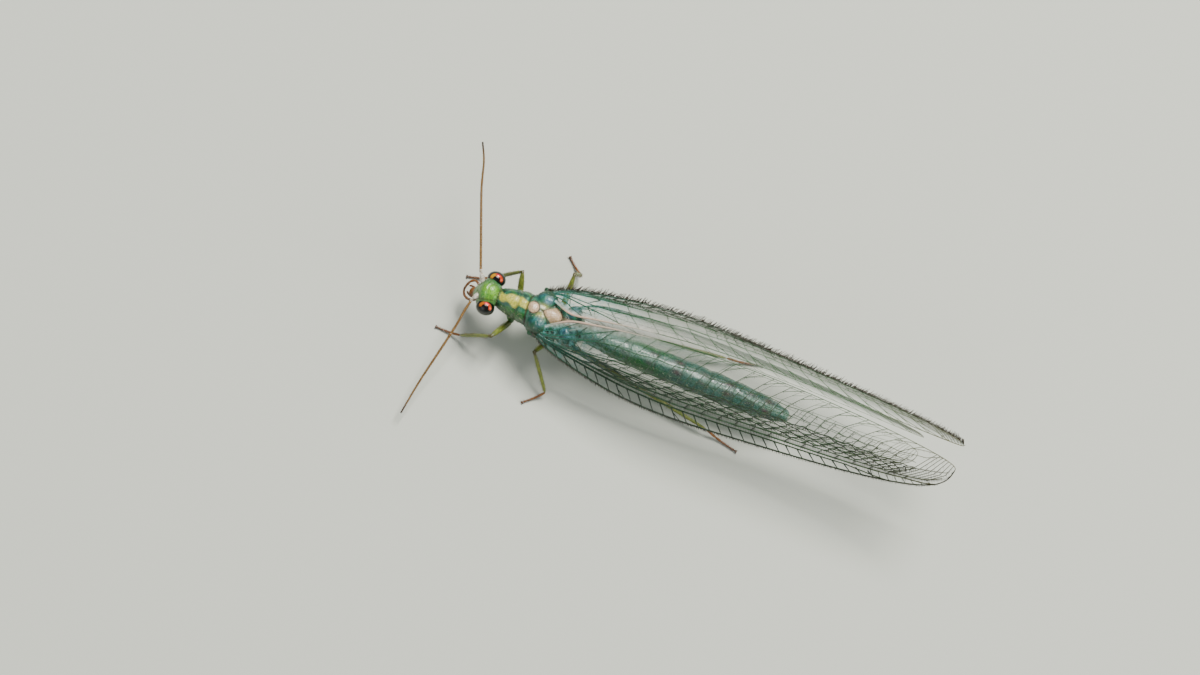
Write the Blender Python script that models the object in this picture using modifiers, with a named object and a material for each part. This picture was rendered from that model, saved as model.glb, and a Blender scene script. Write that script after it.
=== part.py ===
"""Green lacewing, life size, standing with its wings folded like a roof over the abdomen.

Lengths are in metres and +Z is up. The head looks along -Y, the animal's left side is +X,
and lengths along the body count from the middle of the mesothorax. At the end the whole
animal moves so that its origin is on the floor, under the middle of its box.
"""

import math

import bmesh
import bpy
from mathutils import Matrix, Vector

MM = 0.001

# Clearances and the least thickness of the solids
GAP = 0.30 * MM
EYE_GAP = 0.10 * MM
WING_GAP = 0.20 * MM
LIMB_RADIUS = 0.25 * MM
WING_THICKNESS = 0.45 * MM
WING_TIP_THICKNESS = 0.25 * MM
CUT_TOLERANCE = 0.0001 * MM

# Rounded lumps: centre and half sizes in millimetres, and tilt about X in degrees. Paired ones
# are given for the left side.
SKULL = ((0.0, -1.84, 1.86), (0.46, 0.32, 0.49), 0.0)
VERTEX = ((0.0, -1.78, 2.14), (0.29, 0.25, 0.20), 0.0)
FACE = ((0.0, -2.10, 1.62), (0.26, 0.17, 0.28), -14.0)
CLYPEUS = ((0.0, -2.16, 1.38), (0.19, 0.12, 0.12), 0.0)
FEELER_SOCKET = ((0.22, -2.06, 2.02), (0.15, 0.09, 0.15), 0.0)
CHEEK = ((0.22, -1.95, 1.52), (0.18, 0.20, 0.18), 0.0)
LOWER_LIP = ((0.0, -2.12, 0.76), (0.27, 0.27, 0.20), 0.0)
FRONT_SHIELD = ((0.0, -0.07, 2.17), (0.20, 0.17, 0.17), 0.0)
REAR_SHIELD = ((0.0, 0.25, 2.17), (0.17, 0.15, 0.13), 0.0)
BACK_LOBE = ((0.29, 0.06, 2.06), (0.27, 0.24, 0.24), 0.0)
WING_BASE = ((0.62, -0.05, 1.96), (0.21, 0.16, 0.18), 0.0)
LAST_SHIELD = ((0.0, 1.02, 2.02), (0.13, 0.15, 0.12), 0.0)
LAST_LOBE = ((0.22, 0.93, 1.98), (0.22, 0.18, 0.17), 0.0)

# Eyes
EYE_SPAN = 1.40 * MM
EYE_SIZE = Vector((0.44, 0.54, 0.54)) * MM
EYE_Y = -1.75 * MM
EYE_Z = 1.87 * MM

# Sides and rings of rounded forms
FINE = (20, 14)
MEDIUM = (18, 12)
COARSE = (14, 9)

# Body sections: (y, half width, bottom, top) in millimetres
PROTHORAX_SECTIONS = (
    (-1.25, 0.36, 1.38, 2.20),
    (-0.90, 0.42, 1.34, 2.27),
    (-0.56, 0.48, 1.28, 2.34),
)
MESOTHORAX_SECTIONS = (
    (-0.26, 0.55, 1.15, 2.25),
    (0.10, 0.62, 1.10, 2.28),
    (0.42, 0.52, 1.10, 2.22),
)
METATHORAX_SECTIONS = (
    (0.72, 0.50, 1.10, 2.10),
    (0.95, 0.52, 1.10, 2.10),
    (1.20, 0.46, 1.12, 2.04),
)
ABDOMEN_SECTIONS = (
    (1.50, 0.34, 1.18, 1.98),
    (3.00, 0.42, 1.08, 1.92),
    (5.50, 0.44, 0.98, 1.80),
    (7.30, 0.40, 0.90, 1.64),
    (8.10, 0.32, 0.88, 1.50),
)
ABDOMEN_SEGMENTS = 8
RINGS_PER_SEGMENT = 4
SEGMENT_STEP = 0.07

# The furrow across the collar: its place and width as shares of the length, and its depth
FURROW_PLACE = 0.55
FURROW_WIDTH = 0.08
FURROW_DEPTH = 0.06

# How square the ends of the body forms are
COLLAR_BLUNTNESS = 4.0
THORAX_BLUNTNESS = 3.4
ABDOMEN_BLUNTNESS = 5.0

# Folded wings: the two lean a little to the animal's right
WING_LEAN_MIDDLE = 0.18 * MM
WING_LEAN_TIP = 0.10 * MM
RIDGE_X = 0.335

# Legs: hip, knee, ankle and toe in millimetres
LEGS = (
    ("leg_front_left", (0.34, -0.88, 0.78), (1.17, -1.26, 1.50), (1.24, -2.20, 0.30), (1.21, -2.98, 0.09)),
    ("leg_front_right", (-0.34, -0.88, 0.78), (-1.11, -1.11, 1.50), (-0.84, -1.95, 0.30), (-0.66, -2.68, 0.09)),
    ("leg_middle_left", (0.36, 0.45, 0.52), (1.09, 0.15, 1.35), (1.94, 0.92, 0.30), (2.42, 0.38, 0.09)),
    ("leg_middle_right", (-0.36, 0.45, 0.52), (-1.66, 0.42, 1.45), (-1.98, 0.60, 0.30), (-2.46, 0.08, 0.09)),
    ("leg_hind_left", (0.33, 1.10, 0.50), (0.72, 3.20, 0.70), (1.12, 6.00, 0.30), (1.36, 7.10, 0.10)),
    ("leg_hind_right", (-0.33, 1.10, 0.50), (-0.76, 3.10, 0.70), (-1.24, 5.80, 0.30), (-1.50, 6.90, 0.10)),
)

# Legs: spare length past each cut, how far the thigh is sunk at the hip and its radius there, and
# the radii along the foot's five joints, all as shares of the limb's radius but the first
LIMB_SPARE = 0.6 * MM
HIP_SINK = 0.9
HIP_SHARE = 0.45
LIMB_STEPS = 6
FOOT_SHARES = (0.88, 0.88, 0.74, 0.86, 0.72, 0.84, 0.70, 0.82, 0.68, 0.80, 0.46)

# Feelers of the mouth and of the head: points along each and radii, in millimetres
MOUTH_FEELER = ((0.12, -2.12, 0.76), (0.24, -2.42, 0.84), (0.20, -2.74, 0.98))
MOUTH_FEELER_RADII = (0.14, 0.13, 0.08)
ANTENNA_RADII = (0.23, 0.23, 0.22, 0.22, 0.20, 0.10)
ANTENNAE = (
    ("antenna_left", ((0.40, -2.42, 1.98), (0.52, -2.66, 1.92), (0.92, -2.76, 1.74),
                      (1.90, -2.72, 1.34), (3.10, -2.80, 0.90), (4.28, -2.97, 0.52))),
    ("antenna_right", ((-0.40, -2.42, 2.02), (-0.52, -2.66, 2.12), (-0.96, -2.80, 2.28),
                       (-1.70, -2.92, 2.46), (-2.85, -3.26, 2.68), (-4.09, -3.70, 2.90))),
)

# Colours as linear red, green, blue
BODY_GREEN = (0.05, 0.20, 0.08)
THORAX_GREEN = (0.10, 0.28, 0.10)
EYE_COPPER = (0.35, 0.06, 0.03)
FEELER_BROWN = (0.28, 0.16, 0.05)
LEG_OLIVE = (0.10, 0.14, 0.02)
FOOT_BROWN = (0.26, 0.10, 0.02)
WING_PALE = (0.35, 0.50, 0.30)


def clear_scene():
    """Start from an empty scene."""
    for item in list(bpy.data.objects):
        bpy.data.objects.remove(item, do_unlink=True)


def make_material(name, colour, roughness=0.4, metallic=0.0):
    """A plain Principled material."""
    material = bpy.data.materials.new(name)
    material.use_nodes = True
    shader = material.node_tree.nodes["Principled BSDF"]
    shader.inputs["Base Color"].default_value = (*colour, 1.0)
    shader.inputs["Roughness"].default_value = roughness
    shader.inputs["Metallic"].default_value = metallic
    return material


def along(stations, y, column=1):
    """Read one column of a smooth curve through the stations at y."""
    places = [station[0] for station in stations]
    values = [station[column] for station in stations]
    if y <= places[0]:
        return values[0]
    if y >= places[-1]:
        return values[-1]
    last = len(places) - 1
    slopes = []
    for index in range(last + 1):
        before = max(index - 1, 0)
        after = min(index + 1, last)
        slopes.append((values[after] - values[before]) / (places[after] - places[before]))
    step = max(index for index in range(last) if places[index] <= y)
    width = places[step + 1] - places[step]
    share = (y - places[step]) / width
    square = share * share
    cube = square * share
    return (
        (2 * cube - 3 * square + 1) * values[step]
        + (cube - 2 * square + share) * width * slopes[step]
        + (3 * square - 2 * cube) * values[step + 1]
        + (cube - square) * width * slopes[step + 1]
    )


def add_object(name, mesh, material=None):
    """Link a mesh to the scene as one object."""
    item = bpy.data.objects.new(name, mesh)
    bpy.context.scene.collection.objects.link(item)
    if material is not None:
        mesh.materials.clear()
        mesh.materials.append(material)
    return item


def mesh_from(bm, name):
    """Turn a bmesh into a mesh with its faces outward."""
    bmesh.ops.recalc_face_normals(bm, faces=bm.faces)
    if bm.calc_volume(signed=True) < 0.0:
        bmesh.ops.reverse_faces(bm, faces=bm.faces)
    mesh = bpy.data.meshes.new(name)
    bm.to_mesh(mesh)
    bm.free()
    mesh.shade_smooth()
    return mesh


def blob(centre, half_sizes, tilt=0.0, fineness=COARSE):
    """An ellipsoid, tipped by tilt degrees about the X axis."""
    sides, rings = fineness
    bm = bmesh.new()
    size = Matrix.Diagonal((*half_sizes, 1.0))
    place = Matrix.Translation(centre) @ Matrix.Rotation(math.radians(tilt), 4, "X") @ size
    bmesh.ops.create_uvsphere(bm, u_segments=sides, v_segments=rings, radius=1.0, matrix=place)
    return mesh_from(bm, "blob")


def lump(form, side=1.0, fineness=COARSE):
    """One of the named rounded lumps, on the left side or mirrored to the right."""
    (x, y, z), half_sizes, tilt = form
    return blob(Vector((side * x, y, z)) * MM, Vector(half_sizes) * MM, tilt, fineness)


def pair(form):
    """A paired lump on both sides."""
    return [lump(form, side) for side in (-1.0, 1.0)]


def body_form(name, sections, fineness, blunt, relief=None):
    """A closed body along Y, a sphere drawn out through the sections."""
    sides, rings = fineness
    bm = bmesh.new()
    bmesh.ops.create_uvsphere(bm, u_segments=sides, v_segments=rings, radius=1.0)
    start = sections[0][0]
    length = sections[-1][0] - start
    for vert in bm.verts:
        share = math.acos(max(-1.0, min(1.0, vert.co.z))) / math.pi
        around = math.atan2(vert.co.y, vert.co.x)
        reach = max(0.0, 1.0 - abs(2.0 * share - 1.0) ** blunt) ** (1.0 / blunt)
        if relief is not None:
            reach *= relief(share)
        y = start + length * share
        bottom = along(sections, y, 2)
        top = along(sections, y, 3)
        x = along(sections, y, 1) * reach * math.cos(around)
        z = (top + bottom) / 2 + (top - bottom) / 2 * reach * math.sin(around)
        vert.co = Vector((x, y, z)) * MM
    return mesh_from(bm, name)


def tube(points, radii, resolution=3):
    """A closed round tube along the points, as a mesh."""
    curve = bpy.data.curves.new("tube", "CURVE")
    curve.dimensions = "3D"
    curve.bevel_depth = MM
    curve.bevel_resolution = resolution
    curve.use_fill_caps = True
    spline = curve.splines.new("POLY")
    spline.points.add(len(points) - 1)
    for control, point, radius in zip(spline.points, points, radii):
        control.co = (*point, 1.0)
        control.radius = radius / MM
    item = add_object("tube", curve)
    mesh = flatten(item)
    bm = bmesh.new()
    bm.from_mesh(mesh)
    bmesh.ops.remove_doubles(bm, verts=bm.verts, dist=0.001 * MM)
    return mesh_from(bm, "tube")


def flatten(item):
    """Read an object as evaluated, remove it and return its mesh."""
    depsgraph = bpy.context.evaluated_depsgraph_get()
    mesh = bpy.data.meshes.new_from_object(item.evaluated_get(depsgraph))
    bpy.data.objects.remove(item, do_unlink=True)
    return mesh


def largest_body(mesh):
    """Keep only the closed surface with the most faces."""
    bm = bmesh.new()
    bm.from_mesh(mesh)
    waiting = set(bm.faces)
    bodies = []
    while waiting:
        body = {waiting.pop()}
        edge_of_body = list(body)
        while edge_of_body:
            face = edge_of_body.pop()
            for edge in face.edges:
                for neighbour in edge.link_faces:
                    if neighbour in waiting:
                        waiting.discard(neighbour)
                        body.add(neighbour)
                        edge_of_body.append(neighbour)
        bodies.append(body)
    keep = max(bodies, key=len)
    loose = [face for face in bm.faces if face not in keep]
    bmesh.ops.delete(bm, geom=loose, context="FACES")
    bmesh.ops.dissolve_degenerate(bm, edges=bm.edges, dist=0.002 * MM)
    bmesh.ops.triangulate(bm, faces=bm.faces)
    return mesh_from(bm, mesh.name)


def combine(core, others, operation):
    """Join the other meshes to the core mesh, or cut them from it, with one Boolean."""
    item = add_object("core", core)
    group = bpy.data.collections.new("group")
    bpy.context.scene.collection.children.link(group)
    for mesh in others:
        group.objects.link(bpy.data.objects.new("other", mesh))
    boolean = item.modifiers.new("combine", "BOOLEAN")
    boolean.operation = operation
    boolean.operand_type = "COLLECTION"
    boolean.collection = group
    boolean.use_self = True
    bpy.context.view_layer.update()
    mesh = flatten(item)
    for other in list(group.objects):
        bpy.data.objects.remove(other, do_unlink=True)
    bpy.data.collections.remove(group)
    return largest_body(mesh)


def cut_by_plane(bm, point, normal):
    """Remove what lies on the plane's outer side and close the cut."""
    bmesh.ops.bisect_plane(
        bm,
        geom=list(bm.verts) + list(bm.edges) + list(bm.faces),
        dist=CUT_TOLERANCE,
        plane_co=point,
        plane_no=normal,
        clear_outer=True,
    )
    rim = [edge for edge in bm.edges if edge.is_boundary]
    if rim:
        bmesh.ops.edgeloop_fill(bm, edges=rim)
    for vert in bm.verts:
        vert.co -= normal * max(0.0, (vert.co - point).dot(normal))


def make_head(material):
    """Skull with vertex, cheeks, clypeus and feeler sockets, hollowed where the eyes sit."""
    lobes = [lump(form) for form in (VERTEX, FACE, CLYPEUS)] + pair(FEELER_SOCKET) + pair(CHEEK)
    head = combine(lump(SKULL, fineness=FINE), lobes, "UNION")
    hollow = EYE_SIZE / 2 + Vector((EYE_GAP, EYE_GAP, EYE_GAP))
    sockets = [blob(eye_centre(side), hollow, fineness=MEDIUM) for side in (-1.0, 1.0)]
    add_object("head", combine(head, sockets, "DIFFERENCE"), material)


def eye_centre(side):
    """Middle of one eye."""
    return Vector((side * (EYE_SPAN - EYE_SIZE.x) / 2, EYE_Y, EYE_Z))


def make_eyes(material):
    """Two bulging compound eyes."""
    for name, side in (("eye_left", 1.0), ("eye_right", -1.0)):
        add_object(name, blob(eye_centre(side), EYE_SIZE / 2, fineness=MEDIUM), material)


def make_mouthparts(material):
    """Lower lip with the two feelers of the mouth bent forward from it."""
    radii = [radius * MM for radius in MOUTH_FEELER_RADII]
    feelers = []
    for side in (-1.0, 1.0):
        points = [Vector((side * x, y, z)) * MM for x, y, z in MOUTH_FEELER]
        feelers.append(tube(points, radii, resolution=2))
    add_object("mouthparts", combine(lump(LOWER_LIP), feelers, "UNION"), material)


def make_antennae(material):
    """Two tapering feelers."""
    for name, path in ANTENNAE:
        points = [Vector(point) * MM for point in path]
        radii = [radius * MM for radius in ANTENNA_RADII]
        add_object(name, tube(points, radii), material)


def make_prothorax(material):
    """The collar behind the head, with a shallow furrow across it."""

    def furrow(share):
        return 1.0 - FURROW_DEPTH * math.exp(-((share - FURROW_PLACE) / FURROW_WIDTH) ** 2)

    mesh = body_form("prothorax", PROTHORAX_SECTIONS, MEDIUM, COLLAR_BLUNTNESS, furrow)
    add_object("prothorax", mesh, material)


def make_mesothorax(material):
    """The large wing-bearing part: front shield, two lobes, rear shield and wing bases."""
    core = body_form("mesothorax", MESOTHORAX_SECTIONS, MEDIUM, THORAX_BLUNTNESS)
    lobes = [lump(FRONT_SHIELD), lump(REAR_SHIELD)] + pair(BACK_LOBE) + pair(WING_BASE)
    add_object("mesothorax", combine(core, lobes, "UNION"), material)


def make_metathorax(material):
    """The smaller part behind it, with two low lobes."""
    core = body_form("metathorax", METATHORAX_SECTIONS, MEDIUM, THORAX_BLUNTNESS)
    add_object("metathorax", combine(core, [lump(LAST_SHIELD)] + pair(LAST_LOBE), "UNION"), material)


def make_abdomen(material):
    """Eight plates, each a little narrower where it slips under the next."""

    def plates(share):
        within = (share * ABDOMEN_SEGMENTS) % 1.0
        return 1.0 - SEGMENT_STEP * within ** 3

    fineness = (COARSE[0], ABDOMEN_SEGMENTS * RINGS_PER_SEGMENT)
    mesh = body_form("abdomen", ABDOMEN_SECTIONS, fineness, ABDOMEN_BLUNTNESS, plates)
    add_object("abdomen", mesh, material)


def limb(start, end, radii, cuts, ground=False):
    """One straight length of leg between two points, trimmed by planes (point, outward normal)."""
    steps = len(radii) - 1
    points = [start.lerp(end, step / steps) for step in range(steps + 1)]
    mesh = tube(points, radii)
    bm = bmesh.new()
    bm.from_mesh(mesh)
    for point, normal in cuts:
        cut_by_plane(bm, point, normal)
    if ground:
        cut_by_plane(bm, Vector((0.0, 0.0, 0.0)), Vector((0.0, 0.0, -1.0)))
    bmesh.ops.triangulate(bm, faces=bm.faces)
    return mesh_from(bm, "limb")


def make_leg(name, hip, knee, ankle, toe, shank_material, foot_material):
    """Thigh, shin and foot, parted by thin cuts at the knee and the ankle."""
    hip, knee, ankle, toe = (Vector(point) * MM for point in (hip, knee, ankle, toe))
    thigh_way = (knee - hip).normalized()
    shin_way = (ankle - knee).normalized()
    foot_way = (toe - ankle).normalized()
    knee_plane = (thigh_way + shin_way).normalized()
    ankle_plane = (shin_way + foot_way).normalized()
    half = GAP / 2
    thigh = limb(
        hip - thigh_way * LIMB_RADIUS * HIP_SINK,
        knee + thigh_way * LIMB_SPARE,
        [LIMB_RADIUS * HIP_SHARE] + [LIMB_RADIUS] * LIMB_STEPS,
        [(knee - knee_plane * half, knee_plane)],
    )
    shin = limb(
        knee - shin_way * LIMB_SPARE,
        ankle + shin_way * LIMB_SPARE,
        [LIMB_RADIUS] * (LIMB_STEPS + 1),
        [(knee + knee_plane * half, -knee_plane), (ankle - ankle_plane * half, ankle_plane)],
    )
    foot = limb(
        ankle - foot_way * LIMB_SPARE,
        toe,
        [LIMB_RADIUS * share for share in FOOT_SHARES],
        [(ankle + ankle_plane * half, -ankle_plane)],
        ground=True,
    )
    add_object(name + "_femur", thigh, shank_material)
    add_object(name + "_tibia", shin, shank_material)
    add_object(name + "_tarsus", foot, foot_material)


# Wings. The forewing's low margin, its front edge, runs through (y, x, z) in millimetres and the
# high one, the hind edge along the ridge, through (y, z). The hindwing follows the forewing's
# inside, from its own low margin (y, z) up to where it has room. A vein is a ridge along the
# blade at one rise, from 0 at the low margin to 1 at the high one, and a cross row carries short
# veins at every second station.
FOREWING = {
    "root": 0.45,
    "tip": 13.30,
    "apex": (RIDGE_X, 4.10),
    "low": (
        (0.45, 1.02, 1.98),
        (1.50, 1.16, 1.55),
        (3.00, 1.34, 1.22),
        (4.80, 1.40, 1.12),
        (7.80, 1.30, 1.10),
        (13.30, 1.15, 1.50),
    ),
    "high": (
        (0.45, 2.62),
        (1.50, 3.20),
        (3.00, 3.95),
        (5.00, 4.60),
        (8.00, 4.85),
        (13.30, 4.90),
    ),
    "veins": (0.13, 0.33, 0.52, 0.72),
    "cross_rows": (0.055, 0.24, 0.43, 0.62),
    "stations": 38,
    "vein_height": 0.12 * MM,
}

HINDWING = {
    "root": 1.50,
    "tip": 12.00,
    "apex": 2.90,
    "low": (
        (1.50, 2.20),
        (2.90, 2.26),
        (4.00, 2.24),
        (7.00, 2.02),
        (9.20, 1.64),
        (12.00, 1.55),
    ),
    "veins": (0.28, 0.64),
    "cross_rows": (0.46,),
    "stations": 27,
    "vein_height": 0.06 * MM,
}
HINGE_THICKNESS = 0.26 * MM
HINGE_LENGTH = 0.16
FRONT_VEIN_SHARE = 0.6
PLAIN_ROW = 0.9
VEIN_HALF_WIDTH = 0.03
CROSS_VEIN_SHARE = 0.75
STATION_CROWDING = 1.35
TIP_ROUNDNESS = 3.0
LAST_STATION = 0.985
TAPER_START = 0.3
BULGE = 2.2
BULGE_RETURN = 0.77
SLOPE_ALLOWANCE = 1.05


def lean(y):
    """How far the folded wings hang to the animal's right at y."""
    share = y / FOREWING["tip"]
    return WING_LEAN_MIDDLE * math.sin(math.pi * share) + WING_LEAN_TIP * share


def reach_at(wing, y):
    """The share of the wing's length at y, in millimetres."""
    return min(1.0, max(0.0, (y - wing["root"]) / (wing["tip"] - wing["root"])))


def closing_at(reach):
    """How far the margins are still apart: 1 along the blade, 0 at its rounded tip."""
    return (1.0 - reach ** TIP_ROUNDNESS) ** (1.0 / TIP_ROUNDNESS)


def membrane_thickness(wing, reach):
    """A blade thins towards its tip, and the hindwing's also towards its hinge."""
    taper = max(0.0, (reach - TAPER_START) / (1.0 - TAPER_START))
    thickness = WING_THICKNESS + (WING_TIP_THICKNESS - WING_THICKNESS) * taper
    if wing is HINDWING:
        thickness += (HINGE_THICKNESS - WING_THICKNESS) * max(0.0, 1.0 - reach / HINGE_LENGTH)
    return thickness


def forewing_section(y):
    """Low margin, high margin: x and z of each at y, in millimetres."""
    closing = closing_at(reach_at(FOREWING, y))
    apex_x, apex_z = FOREWING["apex"]
    low_x = apex_x + (along(FOREWING["low"], y, 1) - apex_x) * closing
    low_z = apex_z + (along(FOREWING["low"], y, 2) - apex_z) * closing
    high_z = apex_z + (along(FOREWING["high"], y, 1) - apex_z) * closing
    return low_x, low_z, apex_x, high_z


def forewing_x(y, z):
    """Middle surface of the vaulted forewing at height z."""
    low_x, low_z, high_x, high_z = forewing_section(y)
    rise = min(1.0, max(0.0, (z - low_z) / (high_z - low_z)))
    swell = (1.0 - rise ** BULGE) ** BULGE_RETURN
    return high_x + (low_x - high_x) * swell


def tuck(y):
    """How far inside the forewing's middle surface the hindwing's lies, and its least x."""
    fore = membrane_thickness(FOREWING, reach_at(FOREWING, y))
    hind = membrane_thickness(HINDWING, reach_at(HINDWING, y))
    spacing = fore / 2 + WING_GAP + HINDWING["vein_height"] + hind / 2
    return spacing * SLOPE_ALLOWANCE / MM, (WING_GAP + hind) / 2 / MM


def hindwing_top(y):
    """The height up to which the hindwing has room inside the forewing."""
    low_x, low_z, high_x, high_z = forewing_section(y)
    spacing, least_x = tuck(y)
    swell = min(1.0, (least_x + spacing - high_x) / (low_x - high_x))
    rise = (1.0 - swell ** (1.0 / BULGE_RETURN)) ** (1.0 / BULGE)
    return low_z + (high_z - low_z) * rise


def wing_point(wing, side, reach, rise):
    """A point of the wing's middle surface, reach from root to tip and rise up to the ridge."""
    y = wing["root"] + (wing["tip"] - wing["root"]) * reach
    if wing is FOREWING:
        low_x, low_z, high_x, high_z = forewing_section(y)
        z = low_z + (high_z - low_z) * rise
        x = forewing_x(y, z)
    else:
        closing = closing_at(reach)
        low_z = wing["apex"] + (along(wing["low"], y) - wing["apex"]) * closing
        high_z = wing["apex"] + (hindwing_top(y) - wing["apex"]) * closing
        z = low_z + (high_z - low_z) * rise
        spacing, least_x = tuck(y)
        x = max(least_x, forewing_x(y, z) - spacing)
    return Vector((side * x * MM - lean(y), y * MM, z * MM))


def wing_rows(wing):
    """The rises of the grid's rows, each with the share of a vein's height that it carries."""
    rows = {0.0: FRONT_VEIN_SHARE, PLAIN_ROW: 0.0, 1.0: 0.0}
    for vein in wing["veins"]:
        rows[vein - VEIN_HALF_WIDTH] = 0.0
        rows[vein] = 1.0
        rows[vein + VEIN_HALF_WIDTH] = 0.0
    for row in wing["cross_rows"]:
        rows[row] = 0.0
    return sorted(rows.items())


def make_wing(name, wing, side, material):
    """A thin vaulted blade with raised veins: an open grid given its thickness outward."""
    rows = wing_rows(wing)
    columns = wing["stations"]
    last_row = len(rows) - 1
    bm = bmesh.new()
    bmesh.ops.create_grid(bm, x_segments=columns, y_segments=last_row, size=0.5)
    membrane = {}
    veins = {}
    for vert in bm.verts:
        column = round((vert.co.x + 0.5) * columns)
        rise, vein = rows[round((vert.co.y + 0.5) * last_row)]
        if rise in wing["cross_rows"] and column % 2 == 1:
            vein = CROSS_VEIN_SHARE
        reach = 1.0 - (1.0 - LAST_STATION * column / columns) ** STATION_CROWDING
        membrane[vert] = membrane_thickness(wing, reach)
        veins[vert] = wing["vein_height"] * vein * membrane[vert] / WING_THICKNESS
        vert.co = wing_point(wing, side, reach, rise)
    bmesh.ops.triangulate(bm, faces=bm.faces, quad_method="FIXED")
    if sum(face.normal.x for face in bm.faces) * side < 0.0:
        bmesh.ops.reverse_faces(bm, faces=bm.faces)
    bm.normal_update()
    inward = {vert: vert.normal * membrane[vert] / 2 for vert in bm.verts}
    for vert, shift in inward.items():
        vert.co -= shift
    full = WING_THICKNESS + wing["vein_height"]
    shares = [(membrane[vert] + veins[vert]) / full for vert in bm.verts]
    mesh = bpy.data.meshes.new(name)
    bm.to_mesh(mesh)
    bm.free()
    item = add_object(name, mesh, material)
    group = item.vertex_groups.new(name="thickness")
    for index, share in enumerate(shares):
        group.add([index], share, "REPLACE")
    solid = item.modifiers.new("thickness", "SOLIDIFY")
    solid.thickness = full
    solid.offset = 1.0
    solid.vertex_group = "thickness"


def settle(name):
    """Move the whole animal so that its origin is on the floor under the middle of its box."""
    bpy.context.view_layer.update()
    depsgraph = bpy.context.evaluated_depsgraph_get()
    pieces = [item for item in bpy.context.scene.objects if item.type == "MESH"]
    corners = []
    for item in pieces:
        ready = item.evaluated_get(depsgraph)
        corners += [ready.matrix_world @ vert.co for vert in ready.data.vertices]
    low = Vector(min(corner[axis] for corner in corners) for axis in range(3))
    high = Vector(max(corner[axis] for corner in corners) for axis in range(3))
    middle = (low + high) / 2
    origin = bpy.data.objects.new(name, None)
    bpy.context.scene.collection.objects.link(origin)
    origin.location = (-middle.x, -middle.y, 0.0)
    for item in pieces:
        item.parent = origin


def main():
    clear_scene()
    body = make_material("body_green", BODY_GREEN, 0.35)
    thorax = make_material("thorax_green", THORAX_GREEN, 0.35)
    eye = make_material("eye_copper", EYE_COPPER, 0.15, 0.6)
    feeler = make_material("feeler_brown", FEELER_BROWN, 0.5)
    leg = make_material("leg_olive", LEG_OLIVE, 0.45)
    foot = make_material("foot_brown", FOOT_BROWN, 0.5)
    membrane = make_material("wing_pale", WING_PALE, 0.2)
    make_head(thorax)
    make_eyes(eye)
    make_mouthparts(foot)
    make_antennae(feeler)
    make_prothorax(thorax)
    make_mesothorax(thorax)
    make_metathorax(body)
    make_abdomen(body)
    for name, hip, knee, ankle, toe in LEGS:
        make_leg(name, hip, knee, ankle, toe, leg, foot)
    for name, wing in (("forewing", FOREWING), ("hindwing", HINDWING)):
        make_wing(name + "_left", wing, 1.0, membrane)
        make_wing(name + "_right", wing, -1.0, membrane)
    settle("lacewing")


main()
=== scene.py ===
# %% [markdown]
# # A green lacewing, life size
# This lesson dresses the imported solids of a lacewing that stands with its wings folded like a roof.
# The solids stay the frame: every piece here is built in the same place, only finer. A lacewing is
# about 17 mm long with its feelers, so all lengths below are in millimetres, and each finished mesh
# is brought to metres and moved into the frame at the very end of its making.

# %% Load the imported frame
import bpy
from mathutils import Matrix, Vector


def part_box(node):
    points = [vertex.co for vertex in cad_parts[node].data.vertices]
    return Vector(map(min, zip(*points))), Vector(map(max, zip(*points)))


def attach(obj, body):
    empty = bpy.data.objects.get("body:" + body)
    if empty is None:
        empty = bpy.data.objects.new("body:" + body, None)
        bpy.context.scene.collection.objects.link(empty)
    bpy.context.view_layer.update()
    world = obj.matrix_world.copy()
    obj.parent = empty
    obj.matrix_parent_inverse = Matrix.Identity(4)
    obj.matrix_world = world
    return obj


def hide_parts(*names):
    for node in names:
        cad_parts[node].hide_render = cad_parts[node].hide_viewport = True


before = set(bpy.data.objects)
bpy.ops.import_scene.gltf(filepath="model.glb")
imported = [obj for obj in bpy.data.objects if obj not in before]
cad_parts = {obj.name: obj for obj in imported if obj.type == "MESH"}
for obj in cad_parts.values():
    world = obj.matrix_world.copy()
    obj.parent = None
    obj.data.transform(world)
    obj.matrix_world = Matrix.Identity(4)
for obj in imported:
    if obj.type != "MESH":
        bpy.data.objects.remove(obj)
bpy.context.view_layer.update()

# %% [markdown]
# ## Units and place
# The body was designed with y = 0 at the middle of the wing-bearing part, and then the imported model
# was moved so that its origin lies under the middle of its box. The left eye tells how far: its
# designed middle is known, and the frame gives its packed box.

# %% Units and place
import math

import bmesh
import bpy
import numpy as np
from mathutils import Matrix, Vector
from mathutils.kdtree import KDTree

MM = 0.001
EYE_MIDDLE = Vector((0.48, -1.75, 1.87))
eye_low, eye_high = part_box("eye_left")
SHIFT = (eye_low + eye_high) / 2 / MM - EYE_MIDDLE
INTO_FRAME = Matrix.Scale(MM, 4) @ Matrix.Translation(SHIFT)
SIDES = (("left", 1.0), ("right", -1.0))
RANDOM = np.random.default_rng(13)
print("design moves by", tuple(round(value, 3) for value in SHIFT), "mm")


def placed(name, data):
    """Put new data into the scene as an object."""
    thing = bpy.data.objects.new(name, data)
    bpy.context.scene.collection.objects.link(thing)
    return thing


# %% [markdown]
# ## Camera
# The photograph looks steeply down on the insect, a little from its left, with the head to the
# lower left of the tail. A long lens from ten centimetres away gives the flat perspective of such a
# close-up. The camera's right and up directions are worked out from how the body lies in the picture.

# %% Camera
TILT = math.radians(13.5)
BODY_ANGLE = math.atan2(0.3706, 0.9288)
VIEW_WIDTH = 36.84
LENS = 100.0
SENSOR = 36.0
TARGET = Vector((0.05, 1.87, 2.0))


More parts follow.
